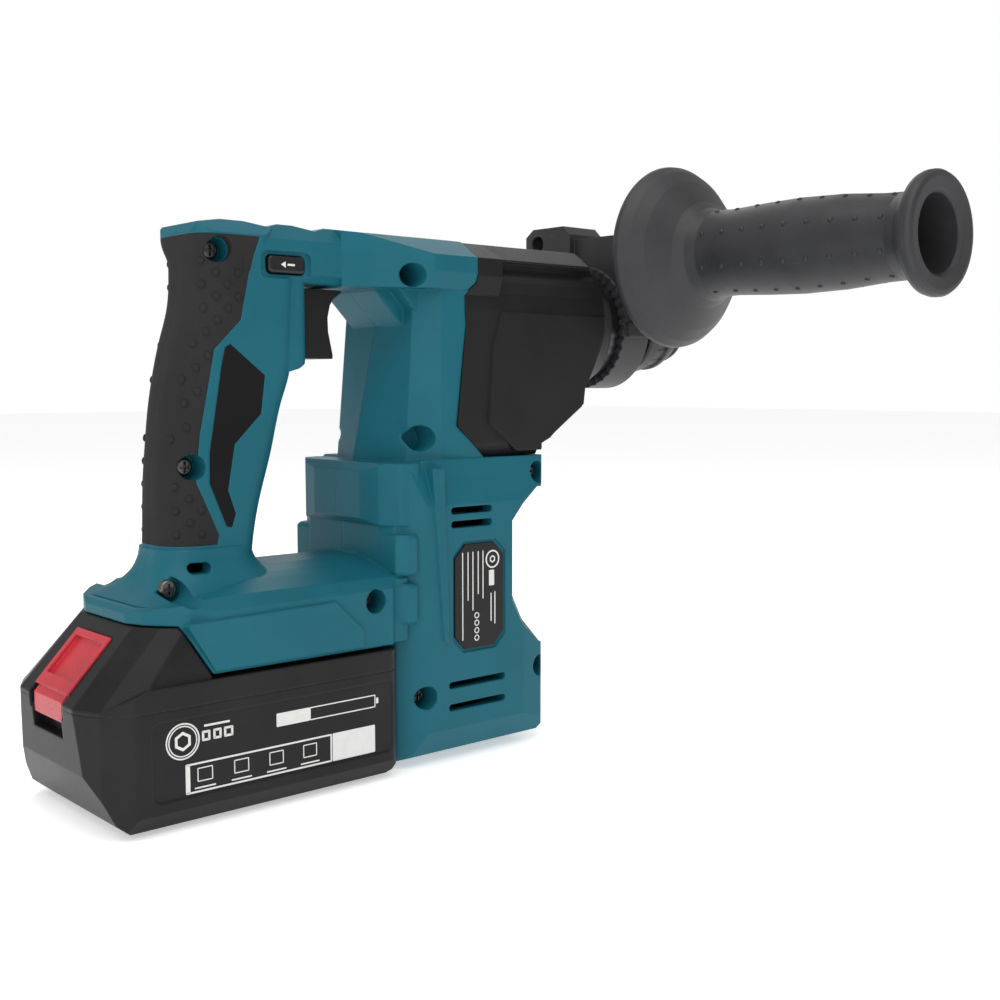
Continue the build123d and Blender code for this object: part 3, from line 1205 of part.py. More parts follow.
def clamp_band():
    """Steel strap under the barrel, with its ends in the saddle."""
    low = SIDE_HANDLE_X - CLAMP_WIDTH / 2
    high = SIDE_HANDLE_X + CLAMP_WIDTH / 2
    ring = rod_x(26.0, (low, high)) - rod_x(BARREL_R + RUN, (low - 1, high + 1))
    band = ring & block((low - 1, high + 1), (-40, 40), (100, SPINDLE_Z + 2.0))
    for side in (-1, 1):
        ear = block((low + 2, high - 2), sorted((side * 25.2, side * 27.6)),
                    (SPINDLE_Z - 4, SPINDLE_Z + 2.0))
        band = band + (ear - rod_x(BARREL_R + RUN, (low - 1, high + 1)))
    return band - clamp_teeth(low)


def clamp_bolt():
    """Bolt that pulls the clamp shut when the grip is turned."""
    shank = rod_y(BOLT_SHANK_R, (FLANGE_Y - 20, BOLT_HEAD_Y[0] + 0.5), SIDE_HANDLE_X, SIDE_HANDLE_Z)
    head = rod_y(BOLT_HEAD_R, BOLT_HEAD_Y, SIDE_HANDLE_X, SIDE_HANDLE_Z)
    return shank + head


def side_grip():
    """Hollow grip: bell-shaped guard, waisted body and open flared end."""
    rim = FLANGE_Y
    end = GRIP_END_Y
    bolt_hole = BOLT_SHANK_R + RUN
    profile = [(rim - 0.5, bolt_hole), (rim - 0.5, 10.8), (rim - 5, 12.5), (rim - 7.5, 20),
               (rim - 5, 29), (rim - 0.9, 34.6), (rim, 35.6), (rim, 36.5), (rim - 1.2, FLANGE_R),
               (rim - 2.8, 36.7), (rim - 6.5, 34.4), (rim - 11, 30.0), (rim - 15, 25.0),
               (rim - 18, 21.4), (rim - 21.5, 18.6), (rim - 26, 17.2), (rim - 34, 16.9),
               (rim - 50, 17.6), (rim - 66, 18.0), (rim - 84, 17.4), (rim - 101, 15.8),
               (rim - 109, 15.5), (rim - 113, 16.6), (rim - 115.5, 19.2), (rim - 117.5, 21.4),
               (rim - 119.2, GRIP_END_R), (end + 0.8, GRIP_END_R), (end - 0.4, GRIP_END_R - 0.8),
               (end - 0.8, GRIP_END_R - 2.4), (end, GRIP_BORE_R + 1.2), (end + 1.5, GRIP_BORE_R),
               (end + 14, GRIP_BORE_R - 1.0), (rim - 36, 12.2), (rim - 30, 11),
               (rim - 30, bolt_hole), (rim - 18.5, bolt_hole), (rim - 18.5, NUT_R),
               (rim - 4, NUT_R), (rim - 4, bolt_hole)]
    outline = Polyline(*[(SIDE_HANDLE_X + r, y, SIDE_HANDLE_Z) for y, r in profile], close=True)
    axis = Axis((SIDE_HANDLE_X, 0, SIDE_HANDLE_Z), (0, 1, 0))
    return revolve(make_face(outline), axis=axis)


def grip_nut():
    """Metal insert moulded in the grip, which screws on the clamp bolt."""
    rim = FLANGE_Y
    body = rod_y(NUT_R, (rim - 18.5, rim - 4), SIDE_HANDLE_X, SIDE_HANDLE_Z)
    return body - rod_y(BOLT_SHANK_R + RUN, (rim - 30, rim + 5), SIDE_HANDLE_X, SIDE_HANDLE_Z)


# ---------------------------------------------------------------- all pieces
def pieces():
    parts = casing_halves()
    parts["gear_housing"] = gear_housing()
    parts["barrel"] = barrel()
    parts["bearing_plate"] = bearing_plate()
    parts["motor_bearing_lower"] = Pos(0, 0, LOWER_BEARING_Z) * bearing(SMALL_BEARING)
    parts["motor_bearing_upper"] = Pos(0, 0, UPPER_BEARING_Z) * bearing(SMALL_BEARING)
    parts["countershaft_bearing_rear"] = bearing_on_x(SMALL_BEARING, COUNTER_REAR_X, COUNTER_Z)
    parts["countershaft_bearing_front"] = bearing_on_x(NEEDLE_BEARING, COUNTER_FRONT_X, COUNTER_Z)
    parts["spindle_bearing_rear"] = bearing_on_x(REAR_BEARING, REAR_BEARING_X, SPINDLE_Z)
    parts["spindle_bearing_front"] = bearing_on_x(FRONT_BEARING, FRONT_BEARING_X, SPINDLE_Z)
    parts["mode_knob"] = mode_knob()
    parts["stator_core"] = stator()
    parts["stator_coils"] = stator_coils()
    parts["motor_shaft"] = motor_shaft()
    parts["rotor_core"] = rotor_core()
    parts["cooling_fan"] = cooling_fan()
    parts["bevel_pinion"] = bevel_pinion()
    parts["bevel_wheel"] = bevel_wheel()
    parts["countershaft"] = countershaft()
    parts["wobble_hub"] = wobble_hub()
    parts["drive_pinion"] = drive_pinion()
    parts["wobble_ring"] = wobble_ring()
    parts["piston"] = piston()
    parts["striker"] = striker()
    parts["impact_bolt"] = impact_bolt()
    parts["spindle"] = spindle()
    parts["bit_holder"] = bit_holder()
    parts["spindle_gear"] = spindle_gear()
    parts["lock_balls"] = lock_balls()
    parts["spring_seat"] = spring_seat()
    parts["chuck_spring"] = chuck_spring()
    parts["chuck_sleeve"] = chuck_sleeve()
    parts["dust_cap"] = dust_cap()
    parts["trigger"] = trigger()
    parts["switch_body"] = switch_body()
    parts["direction_button"] = direction_button()
    parts["control_board"] = control_board()
    parts["terminal_block"] = terminal_block()
    parts["rating_plate_right"] = rating_plate(-1)
    parts["rating_plate_left"] = rating_plate(1)
    parts["handle_screws"] = screw_group(HANDLE_SCREWS)
    parts["case_screws"] = screw_group(CASE_SCREWS)
    parts["battery_lower_case"] = battery_lower()
    parts["battery_upper_case"] = battery_upper()
    parts["battery_cells"] = battery_cells()
    parts["battery_contacts"] = battery_contacts()
    parts["release_button"] = release_button()
    parts["release_latch"] = release_latch()
    parts["clamp_bracket"] = clamp_bracket()
    parts["clamp_band"] = clamp_band()
    parts["clamp_bolt"] = clamp_bolt()
    parts["side_grip"] = side_grip()
    parts["grip_nut"] = grip_nut()
    return parts


os.makedirs("parts", exist_ok=True)
for node, shape in pieces().items():
    export_step(shape, f"parts/{node}.step")
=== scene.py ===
"""Finishes, small fittings and studio of a cordless rotary hammer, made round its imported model."""
import math

import bmesh
import bpy
from bpy.props import FloatProperty, FloatVectorProperty, IntProperty, PointerProperty
from mathutils import Matrix, Vector


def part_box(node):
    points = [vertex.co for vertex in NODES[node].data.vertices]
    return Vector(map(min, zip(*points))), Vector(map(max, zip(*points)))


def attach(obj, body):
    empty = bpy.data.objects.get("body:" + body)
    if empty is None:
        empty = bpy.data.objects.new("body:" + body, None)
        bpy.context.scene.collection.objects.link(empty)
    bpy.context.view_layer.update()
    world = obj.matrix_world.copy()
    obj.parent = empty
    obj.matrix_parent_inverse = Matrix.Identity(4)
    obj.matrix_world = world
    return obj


bl_info = {
    "name": "Rotary hammer",
    "version": (1, 0, 0),
    "blender": (4, 5, 0),
    "location": "View3D > Sidebar > Hammer",
    "description": "Builds the finishes and small fittings of a cordless rotary hammer",
    "category": "Object",
}

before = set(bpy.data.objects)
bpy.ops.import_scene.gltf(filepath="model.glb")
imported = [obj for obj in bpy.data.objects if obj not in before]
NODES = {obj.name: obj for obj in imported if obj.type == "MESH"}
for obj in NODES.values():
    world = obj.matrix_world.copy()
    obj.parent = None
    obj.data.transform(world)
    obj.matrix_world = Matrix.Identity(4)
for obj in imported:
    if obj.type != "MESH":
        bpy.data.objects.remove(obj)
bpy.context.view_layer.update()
MM = 0.001

# Camera and picture
CAMERA_PLACE = (-0.31439, -0.4065, 0.1426)
CAMERA_AHEAD = (0.6613, 0.7448, -0.0889)
LENS = 46.55
FLOOR_GLOW = 0.46  # keeps the far floor as white as the near one

# Printed marks: how thick the ink stands, and how round its corners are
INK = 0.07 * MM
INK_CORNER = 0.35 * MM

# Handle dots keep this far below the cover's top, and need cover at these steps round them
CAP_MARGIN = 5.5 * MM
CLEAR_OF = 60 * MM  # lines that look for a surface start this far out
NEAR_RIM = ((-1.6 * MM, 0), (1.6 * MM, 0), (0, 1.6 * MM), (0, -1.6 * MM))

# Side grip dots: the row starts at this y and has so many dots, smaller than the handle's
SIDE_DOT_START = -74.5 * MM
SIDE_DOT_COUNT = 9
SIDE_DOT_SCALE = 0.72

# Which CAD nodes take which finish
FINISH_NODES = {
    "housing plastic": ["housing_right", "housing_left"],
    "soft cover": ["grip_cover_right", "grip_cover_left"],
    "soft inlay": ["inlay_right", "inlay_left"],
    "gear housing plastic": ["gear_housing", "mode_knob"],
    "trigger plastic": ["trigger"],
    "battery plastic": ["battery_lower_case", "battery_upper_case", "release_latch"],
    "handle plastic": ["side_grip", "clamp_bracket", "clamp_band"],
    "button red": ["release_button"],
    "polished black": ["direction_button", "switch_body"],
    "plate black": ["rating_plate_right", "rating_plate_left"],
    "dark steel": ["barrel", "bit_holder"],
    "chuck black": ["chuck_sleeve"],
    "ground steel": [
        "motor_bearing_lower", "motor_bearing_upper", "countershaft_bearing_rear",
        "countershaft_bearing_front", "spindle_bearing_rear", "spindle_bearing_front",
        "motor_shaft", "bevel_pinion", "bevel_wheel", "countershaft", "wobble_hub",
        "drive_pinion", "wobble_ring", "striker", "impact_bolt", "spindle", "spindle_gear",
        "lock_balls", "spring_seat", "chuck_spring",
    ],
    "plated steel": ["handle_screws", "case_screws", "clamp_bolt", "grip_nut"],
    "cast alloy": ["bearing_plate", "piston"],
    "laminated steel": ["stator_core", "rotor_core"],
    "copper wire": ["stator_coils", "battery_contacts"],
    "board green": ["control_board"],
    "inner black": ["terminal_block", "cooling_fan"],
    "seal rubber": ["dust_cap"],
    "cell sleeve": ["battery_cells"],
}


# ---------------------------------------------------------------- shader expressions
class Wire:
    """A shader socket that takes part in Python arithmetic."""

    def __init__(self, paint, socket):
        self.paint = paint
        self.socket = socket

    def maths(self, operation, first, second, clamp=False):
        settings = {"operation": operation, "use_clamp": clamp}
        return self.paint.node("ShaderNodeMath", settings, {0: first, 1: second})

    def __add__(self, other):
        return self.maths("ADD", self, other)

    def __sub__(self, other):
        return self.maths("SUBTRACT", self, other)

    def __mul__(self, other):
        return self.maths("MULTIPLY", self, other)

    def __rsub__(self, other):
        return self.maths("SUBTRACT", other, self)

    __radd__ = __add__
    __rmul__ = __mul__

    def limited(self):
        """The value, kept between 0 and 1."""
        return self.maths("ADD", self, 0.0, clamp=True)

    def ramp(self, low, high):
        """0 at low, 1 at high, smooth between."""
        settings = {"interpolation_type": "SMOOTHSTEP"}
        return self.paint.node("ShaderNodeMapRange", settings,
                               {"Value": self, "From Min": low, "From Max": high})


class Paint:
    """One material and the nodes that feed its shader."""

    def __init__(self, name, **numbers):
        self.material = bpy.data.materials.new(name)
        self.material.use_nodes = True
        self.tree = self.material.node_tree
        self.shader = self.tree.nodes["Principled BSDF"]
        for key, value in numbers.items():
            self.shader.inputs[key.replace("_", " ")].default_value = value
        self.place = self.node("ShaderNodeTexCoord", output="Object")

    def node(self, kind, settings=None, inputs=None, output=0):
        """Adds a node; settings are set first, then inputs are fed with values or wires."""
        made = self.tree.nodes.new(kind)
        for key, value in (settings or {}).items():
            setattr(made, key, value)
        for key, value in (inputs or {}).items():
            self.feed(made.inputs[key], value)
        return Wire(self, made.outputs[output])

    def feed(self, socket, value):
        if isinstance(value, Wire):
            self.tree.links.new(value.socket, socket)
        else:
            socket.default_value = value

    def noise(self, size, detail=2.0, roughness=0.5, place=None):
        """Noise whose blobs are about size metres across."""
        return self.node("ShaderNodeTexNoise", None,
                         {"Vector": place or self.place, "Scale": 1.0 / size, "Detail": detail,
                          "Roughness": roughness})

    def cells(self, size, feature="F1"):
        return self.node("ShaderNodeTexVoronoi", {"feature": feature},
                         {"Vector": self.place, "Scale": 1.0 / size})

    def stretched(self, scale):
        """Object coordinates scaled along each axis."""
        return self.node("ShaderNodeMapping", None, {"Vector": self.place, "Scale": scale})

    def mix(self, share, first, second):
        made = self.tree.nodes.new("ShaderNodeMix")
        made.data_type = "RGBA"
        self.feed(made.inputs[0], share)
        self.feed(made.inputs[6], first)
        self.feed(made.inputs[7], second)
        return Wire(self, made.outputs[2])

    def soft_edges(self, radius):
        """Normals that turn smoothly over edges, as a moulded radius does."""
        return self.node("ShaderNodeBevel", {"samples": 6}, {"Radius": radius})

    def edge_mask(self, soft):
        """1 near an edge that soft rounds, 0 on the faces."""
        plain = self.node("ShaderNodeNewGeometry", output="Normal")
        turn = self.node("ShaderNodeVectorMath", {"operation": "DOT_PRODUCT"},
                         {0: soft, 1: plain}, output="Value")
        return (1.0 - turn).ramp(0.02, 0.35)

    def relief(self, height, depth, normal=None):
        inputs = {"Height": height, "Distance": depth, "Strength": 1.0}
        if normal:
            inputs["Normal"] = normal
        return self.node("ShaderNodeBump", None, inputs)

    def finish(self, **sockets):
        for key, value in sockets.items():
            self.feed(self.shader.inputs[key.replace("_", " ")], value)
        return self.material


def lighter(colour, factor):
    return tuple(min(1.0, channel * factor) for channel in colour[:3]) + (1.0,)


def moulded(name, colour, rough, grain, depth, radius, mottle=0.10, shine=1.35, spec=0.5):
    """Moulded plastic: fine grain, slight mottling, smoother on its edges and paler there, a painted
    highlight with some edge wear.
    """
    paint = Paint(name, Specular_IOR_Level=spec)
    soft = paint.soft_edges(radius)
    edge_highlight_and_wear = paint.edge_mask(soft)
    cloud = paint.noise(0.022, 3.0)
    speck = paint.noise(grain * 2.5, 2.0)
    base = paint.mix(cloud.ramp(0.3, 0.7), lighter(colour, 1 - mottle), lighter(colour, 1 + mottle))
    base = paint.mix(speck.ramp(0.55, 0.8) * 0.12, base, lighter(colour, 1.6))
    # edges mixed toward a lighter tone by shine: painted highlight along the rounded edges, with
    # some edge wear
    base = paint.mix(edge_highlight_and_wear * 0.45, base, lighter(colour, shine))
    roughness = rough + (cloud - 0.5) * 0.12 + (speck - 0.5) * 0.10 - edge_highlight_and_wear * 0.08
    fine = paint.noise(grain, 2.0, 0.6)
    return paint.finish(Base_Color=base, Roughness=roughness,
                        Normal=paint.relief(fine, depth, soft))


def scuffed(name, colour, rough, grain, depth, radius):
    """Handle plastic with faint pale scratches and rub marks, its edges lightened as a painted
    highlight with some edge wear.
    """
    paint = Paint(name, Specular_IOR_Level=0.4)
    soft = paint.soft_edges(radius)
    edge_highlight_and_wear = paint.edge_mask(soft)
    cloud = paint.noise(0.018, 4.0, 0.6)
    lines = paint.noise(0.0012, 3.0, 0.5, paint.stretched((0.12, 1.0, 1.0)))
    strokes = paint.noise(0.0015, 2.0, 0.5, paint.stretched((1.0, 0.15, 0.6)))
    scratch = lines.ramp(0.66, 0.74) * cloud.ramp(0.5, 0.7) + strokes.ramp(0.68, 0.76) * 0.6
    base = paint.mix(cloud.ramp(0.3, 0.7), lighter(colour, 0.86), lighter(colour, 1.18))
    base = paint.mix((scratch * 0.35).limited(), base, lighter(colour, 2.6))
    # edges mixed toward a lighter tone: painted highlight on the rim, with some edge wear
    base = paint.mix(edge_highlight_and_wear * 0.5, base, lighter(colour, 2.1))
    roughness = rough + (cloud - 0.5) * 0.18 + scratch * 0.06 - edge_highlight_and_wear * 0.06
    fine = paint.noise(grain, 2.0, 0.6)
    return paint.finish(Base_Color=base, Roughness=roughness,
                        Normal=paint.relief(fine - scratch * 0.8, depth, soft))


def steel(name, colour, rough, along, radius, turned=0.5):
    """Machined metal: fine tool lines along one axis, and edges brightened as a painted highlight
    with some edge wear.
    """
    paint = Paint(name, Metallic=1.0)
    soft = paint.soft_edges(radius)
    edge_highlight_and_wear = paint.edge_mask(soft)
    lines = paint.noise(0.0004, 2.0, 0.5, paint.stretched(along))
    cloud = paint.noise(0.006, 3.0)
    base = paint.mix(cloud.ramp(0.3, 0.7), lighter(colour, 0.85), lighter(colour, 1.15))
    # edges mixed toward a brighter tone: painted highlight on the metal's edges, with some edge wear
    base = paint.mix(edge_highlight_and_wear * 0.6, base, lighter(colour, 1.7))
    roughness = rough + (lines - 0.5) * 0.25 * turned + (cloud - 0.5) * 0.12
    return paint.finish(Base_Color=base, Roughness=roughness,
                        Normal=paint.relief(lines, 0.000012 * turned, soft))


def wound_copper(name, colour):
    """Copper wire lying in turns round its tooth."""
    paint = Paint(name, Metallic=1.0)
    wave = paint.node("ShaderNodeTexWave", {"bands_direction": "Z"},
                      {"Vector": paint.place, "Scale": 320.0, "Distortion": 0.4})
    base = paint.mix(wave, lighter(colour, 0.5), lighter(colour, 1.2))
    return paint.finish(Base_Color=base, Roughness=0.35 + wave * 0.1,
                        Normal=paint.relief(wave, 0.0002))


def stacked_sheets(name, colour):
    """Lamination stack: thin sheets one on another along z."""
    paint = Paint(name, Metallic=1.0)
    wave = paint.node("ShaderNodeTexWave", {"bands_direction": "Z"},
                      {"Vector": paint.place, "Scale": 620.0, "Distortion": 0.1})
    cloud = paint.noise(0.008, 3.0)
    base = paint.mix(wave * cloud, lighter(colour, 0.6), lighter(colour, 1.3))
    return paint.finish(Base_Color=base, Roughness=0.45 + cloud * 0.2,
                        Normal=paint.relief(wave, 0.00006))


def printed_board(name, colour):
    """Coated circuit board with pale tracks."""
    paint = Paint(name)
    tracks = paint.cells(0.004, "DISTANCE_TO_EDGE").ramp(0.05, 0.09)
    base = paint.mix(tracks, lighter(colour, 2.4), lighter(colour, 1.0))
    return paint.finish(Base_Color=base, Roughness=0.35 + tracks * 0.1,
                        Normal=paint.relief(tracks, 0.00003))


def pad_print(name, colour):
    """Matt printing ink, slightly uneven at its surface."""
    paint = Paint(name, Specular_IOR_Level=0.4)
    cloud = paint.noise(0.002, 3.0)
    base = paint.mix(cloud.ramp(0.35, 0.65), lighter(colour, 0.95), colour)
    return paint.finish(Base_Color=base, Roughness=0.55 + cloud * 0.1)


def make_finishes(colours):
    """Every finish, by name."""
    teal = colours.housing
    black = colours.black
    grip = colours.side_handle
    turned_x = (1.0, 0.02, 0.02)
    return {
        "housing plastic": moulded("housing plastic", teal, 0.46, 0.00035, 0.000035, 0.0011,
                                   mottle=0.05, shine=1.7, spec=0.2),
        "soft cover": moulded("soft cover", colours.soft, 0.78, 0.0005, 0.00006, 0.0009,
                              mottle=0.14, shine=1.5, spec=0.24),
        "soft inlay": moulded("soft inlay", lighter(colours.soft, 0.5), 0.82, 0.0006, 0.00005,
                              0.0004, spec=0.12),
        "gear housing plastic": moulded("gear housing plastic", black, 0.46, 0.0004, 0.00005,
                                        0.0010, shine=2.8, spec=0.18),
        "trigger plastic": moulded("trigger plastic", lighter(black, 0.9), 0.42, 0.0004, 0.00003,
                                   0.0008, shine=2.4, spec=0.2),
        "battery plastic": moulded("battery plastic", lighter(black, 1.1), 0.36, 0.0005, 0.00006,
                                   0.0010, mottle=0.16, shine=3.2, spec=0.18),
        "handle plastic": scuffed("handle plastic", grip, 0.46, 0.0005, 0.00004, 0.0009),
        "button red": moulded("button red", colours.button, 0.30, 0.0006, 0.00002, 0.0009,
                              mottle=0.12, shine=1.5),
        "polished black": moulded("polished black", lighter(black, 0.55), 0.14, 0.0009, 0.000004,
                                  0.0009, shine=1.6),
        "plate black": moulded("plate black", lighter(black, 0.8), 0.36, 0.0005, 0.00001, 0.0003,
                               shine=1.4, spec=0.25),
        "dark steel": steel("dark steel", (0.13, 0.13, 0.14), 0.34, turned_x, 0.0005),
        "chuck black": moulded("chuck black", lighter(black, 0.9), 0.40, 0.0004, 0.00003, 0.0006,
                               shine=2.2),
        "ground steel": steel("ground steel", (0.55, 0.55, 0.56), 0.24, turned_x, 0.0003),
        "plated steel": steel("plated steel", (0.13, 0.122, 0.117), 0.30, (1.0, 1.0, 1.0), 0.0003,
                              turned=0.2),
        "cast alloy": steel("cast alloy", (0.55, 0.56, 0.57), 0.46, (1.0, 1.0, 1.0), 0.0005,
                            turned=1.4),
        "laminated steel": stacked_sheets("laminated steel", (0.32, 0.32, 0.33)),
        "copper wire": wound_copper("copper wire", (0.78, 0.36, 0.16)),
        "board green": printed_board("board green", (0.015, 0.12, 0.05)),
        "inner black": moulded("inner black", black, 0.5, 0.0005, 0.00004, 0.0003),
        "seal rubber": moulded("seal rubber", lighter(black, 1.0), 0.62, 0.0006, 0.00006, 0.0006,
                               spec=0.4),
        "cell sleeve": moulded("cell sleeve", (0.05, 0.16, 0.30), 0.3, 0.002, 0.00002, 0.0004),
        "print white": pad_print("print white", (0.74, 0.74, 0.72, 1.0)),
    }


FINISHES = {}


# ---------------------------------------------------------------- modelling helpers
def nothing_selected():
    bpy.ops.object.select_all(action="DESELECT")


def only(piece):
    nothing_selected()
    piece.select_set(True)
    bpy.context.view_layer.objects.active = piece


def add_modifier(piece, kind, **settings):
    """Adds a modifier and applies it."""
    only(piece)
    modifier = piece.modifiers.new(kind.title(), kind)
    for key, value in settings.items():
        setattr(modifier, key, value)
    bpy.ops.object.modifier_apply(modifier=modifier.name)


def settle(piece):
    """Puts a piece's place into its mesh, with its object at the origin."""
    only(piece)
    bpy.ops.object.transform_apply(location=True, rotation=True, scale=True)


def smooth(piece, angle=35.0):
    only(piece)
    bpy.ops.object.shade_smooth_by_angle(angle=math.radians(angle))


def dress(piece, name, finish, body):
    """Names a finished piece, gives it its finish and lets it ride on its body."""
    piece.name = name
    piece.data.name = name
    piece.data.materials.clear()
    piece.data.materials.append(FINISHES[finish])
    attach(piece, body)
    return piece


def join(pieces, name):
    """One object from several."""
    nothing_selected()
    for piece in pieces:
        piece.select_set(True)
    bpy.context.view_layer.objects.active = pieces[0]
    bpy.ops.object.join()
    pieces[0].name = name
    return pieces[0]


def copies_at(seed, places, name):
    """One mesh object made of copies of seed's mesh, one at each matrix, and seed removed."""
    mesh = bmesh.new()
    for place in places:
        part = seed.data.copy()
        part.transform(place)
        mesh.from_mesh(part)
        bpy.data.meshes.remove(part)
    data = bpy.data.meshes.new(name)
    mesh.to_mesh(data)
    mesh.free()
    whole = bpy.data.objects.new(name, data)
    bpy.context.scene.collection.objects.link(whole)
    bpy.data.objects.remove(seed)
    return whole


def surface_hit(node, start, direction):
    """Where a line from start meets a CAD node, as (place, outward normal), or None."""
    target = NODES[node]
    found, place, normal, _ = target.ray_cast(Vector(start), Vector(direction))
    if not found:
        return None
    normal = normal.normalized()
    if normal.dot(Vector(direction)) > 0:
        normal = -normal
    return place, normal


def standing_on(place, normal):
    """Matrix that takes z to normal and the origin to place."""
    turn = Vector((0, 0, 1)).rotation_difference(normal).to_matrix().to_4x4()
    return Matrix.Translation(place) @ turn


def flat_shape(x, z, wide, high, rim=0.0, sides=4, turn=0.0):
    """A thin printed block with its middle at (x, z), outline only where rim is given."""
    nothing_selected()
    if sides == 4:
        bpy.ops.mesh.primitive_plane_add(size=1.0)
    else:
        bpy.ops.mesh.primitive_circle_add(vertices=sides, radius=0.5, fill_type="NGON")
    piece = bpy.context.object
    piece.scale = (wide, high, 1)
    piece.rotation_euler = (0, 0, turn)
    settle(piece)
    bpy.ops.object.mode_set(mode="EDIT")
    bpy.ops.mesh.select_all(action="SELECT")
    if sides == 4:
        corner = min(INK_CORNER, 0.3 * high, 0.3 * wide)
        bpy.ops.mesh.bevel(affect="VERTICES", offset=corner, segments=3)
    if rim:
        bpy.ops.mesh.select_all(action="SELECT")
        bpy.ops.mesh.inset(thickness=rim)
        bpy.ops.mesh.delete(type="FACE")
    bpy.ops.object.mode_set(mode="OBJECT")
    add_modifier(piece, "SOLIDIFY", thickness=INK, offset=1.0)
    piece.rotation_euler = (math.radians(90), 0, 0)
    piece.location = (x, 0, z)
    settle(piece)
    return piece


def printed_on(pieces, node, x, z, name, body):
    """Joins printed shapes, lays them on both sides of a node and dresses them."""
    seed = join(pieces, name)
    face = surface_hit(node, (x, -0.2, z), (0, 1, 0))[0].y
    near = Matrix.Translation((0, face, 0))
    far = Matrix.Scale(-1, 4, (0, 1, 0)) @ near
    both = copies_at(seed, [near, far], name)
    only(both)
    bpy.ops.object.mode_set(mode="EDIT")
    bpy.ops.mesh.select_all(action="SELECT")
    bpy.ops.mesh.normals_make_consistent(inside=False)
    bpy.ops.object.mode_set(mode="OBJECT")
    return dress(both, name, "print white", body)


# ---------------------------------------------------------------- sizes a user may change
class HammerColours(bpy.types.PropertyGroup):
    housing: FloatVectorProperty(name="Housing", description="Colour of the casing halves",
                                 subtype="COLOR", size=3, default=(0.0075, 0.115, 0.156))
    black: FloatVectorProperty(name="Black", description="Colour of the gear housing and battery",
                               subtype="COLOR", size=3, default=(0.0125, 0.0123, 0.0127))
    soft: FloatVectorProperty(name="Soft cover", description="Colour of the handle's soft cover",
                              subtype="COLOR", size=3, default=(0.020, 0.0195, 0.021))
    side_handle: FloatVectorProperty(name="Side handle", description="Colour of the side handle",
                                     subtype="COLOR", size=3, default=(0.027, 0.027, 0.0295))
    button: FloatVectorProperty(name="Button", description="Colour of the release button",
                                subtype="COLOR", size=3, default=(0.50, 0.022, 0.035))


class DotSizes(bpy.types.PropertyGroup):
    radius: FloatProperty(name="Dot radius", description="Radius of a dot on the main handle",
                          subtype="DISTANCE", default=0.0014)
    height: FloatProperty(name="Dot height", description="How far a dot stands out",
                          subtype="DISTANCE", default=0.0008)
    column: FloatProperty(name="Column pitch", description="Distance between dots in a row",
                          subtype="DISTANCE", default=0.0077)
    row: FloatProperty(name="Row pitch", description="Height between rows of dots",
                       subtype="DISTANCE", default=0.0040)
    side_rows: IntProperty(name="Side grip rows", description="Rows of dots round the side grip",
                           default=8)
    side_pitch: FloatProperty(name="Side grip pitch", description="Distance along a row",
                              subtype="DISTANCE", default=0.0098)


class StudioSizes(bpy.types.PropertyGroup):
    key_power: FloatProperty(name="Key light", description="Power of the large overhead light",
                             default=9.5)
    fill_power: FloatProperty(name="Fill light", description="Power of the light by the camera",
                              default=3.0)
    world: FloatProperty(name="Surround", description="Light that the surround sheds",
                         default=0.50)


# ---------------------------------------------------------------- operators
class HAMMER_OT_finishes(bpy.types.Operator):
    """Makes the finishes and gives each carried-over node its own"""

    bl_idname = "hammer.finishes"
    bl_label = "Finishes"

    def execute(self, context):
        FINISHES.update(make_finishes(context.scene.hammer_colours))
        for finish, nodes in FINISH_NODES.items():
            for node in nodes:
                data = NODES[node].data
                data.materials.clear()
                data.materials.append(FINISHES[finish])
        return {"FINISHED"}


class HAMMER_OT_handle_dots(bpy.types.Operator):
    """Adds the raised dots on both sides of the main handle's soft cover"""

    bl_idname = "hammer.handle_dots"
    bl_label = "Handle dots"

    def execute(self, context):
        sizes = context.scene.hammer_dots
        for side, name in ((-1, "right"), (1, "left")):
            node = f"grip_cover_{name}"
            places = self.places(node, side, sizes)
            dots = copies_at(self.dome(sizes), places, f"handle_dots_{name}")
            smooth(dots, 60)
            dress(dots, f"handle_dots_{name}", "soft cover", "housing")
        return {"FINISHED"}

    @staticmethod
    def dome(sizes):
        """A low dome: a sphere flattened, its lower half cut off."""
        nothing_selected()
        bpy.ops.mesh.primitive_uv_sphere_add(segments=10, ring_count=8, radius=sizes.radius)
        seed = bpy.context.object
        bpy.ops.object.mode_set(mode="EDIT")
        bpy.ops.mesh.bisect(plane_co=(0, 0, -sizes.radius * 0.3), plane_no=(0, 0, 1),
                            clear_inner=True, use_fill=True)
        bpy.ops.object.mode_set(mode="OBJECT")
        seed.scale = (1, 1, sizes.height / sizes.radius)
        settle(seed)
        return seed

    @staticmethod
    def places(node, side, sizes):
        """A diagonal lattice on the cover's side and round its back."""
        low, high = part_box(node)
        found = []
        rows = int((high.z - low.z) / sizes.row)
        columns = int((high.x - low.x) / sizes.column) + 1
        for n in range(1, rows):
            z = low.z + sizes.row * n
            if z > high.z - CAP_MARGIN:
                continue
            for m in range(columns):
                x = low.x + sizes.column * (m + 0.5 * (n % 2))
                hit = surface_hit(node, (x, side * CLEAR_OF, z), (0, -side, 0))
                if not hit or abs(hit[1].y) < 0.3:
                    continue
                room = (surface_hit(node, (x + step, side * CLEAR_OF, z + rise), (0, -side, 0))
                        for step, rise in NEAR_RIM)
                if all(near and abs(near[0].y - hit[0].y) < 0.005 for near in room):
                    found.append(standing_on(*hit))
        return found


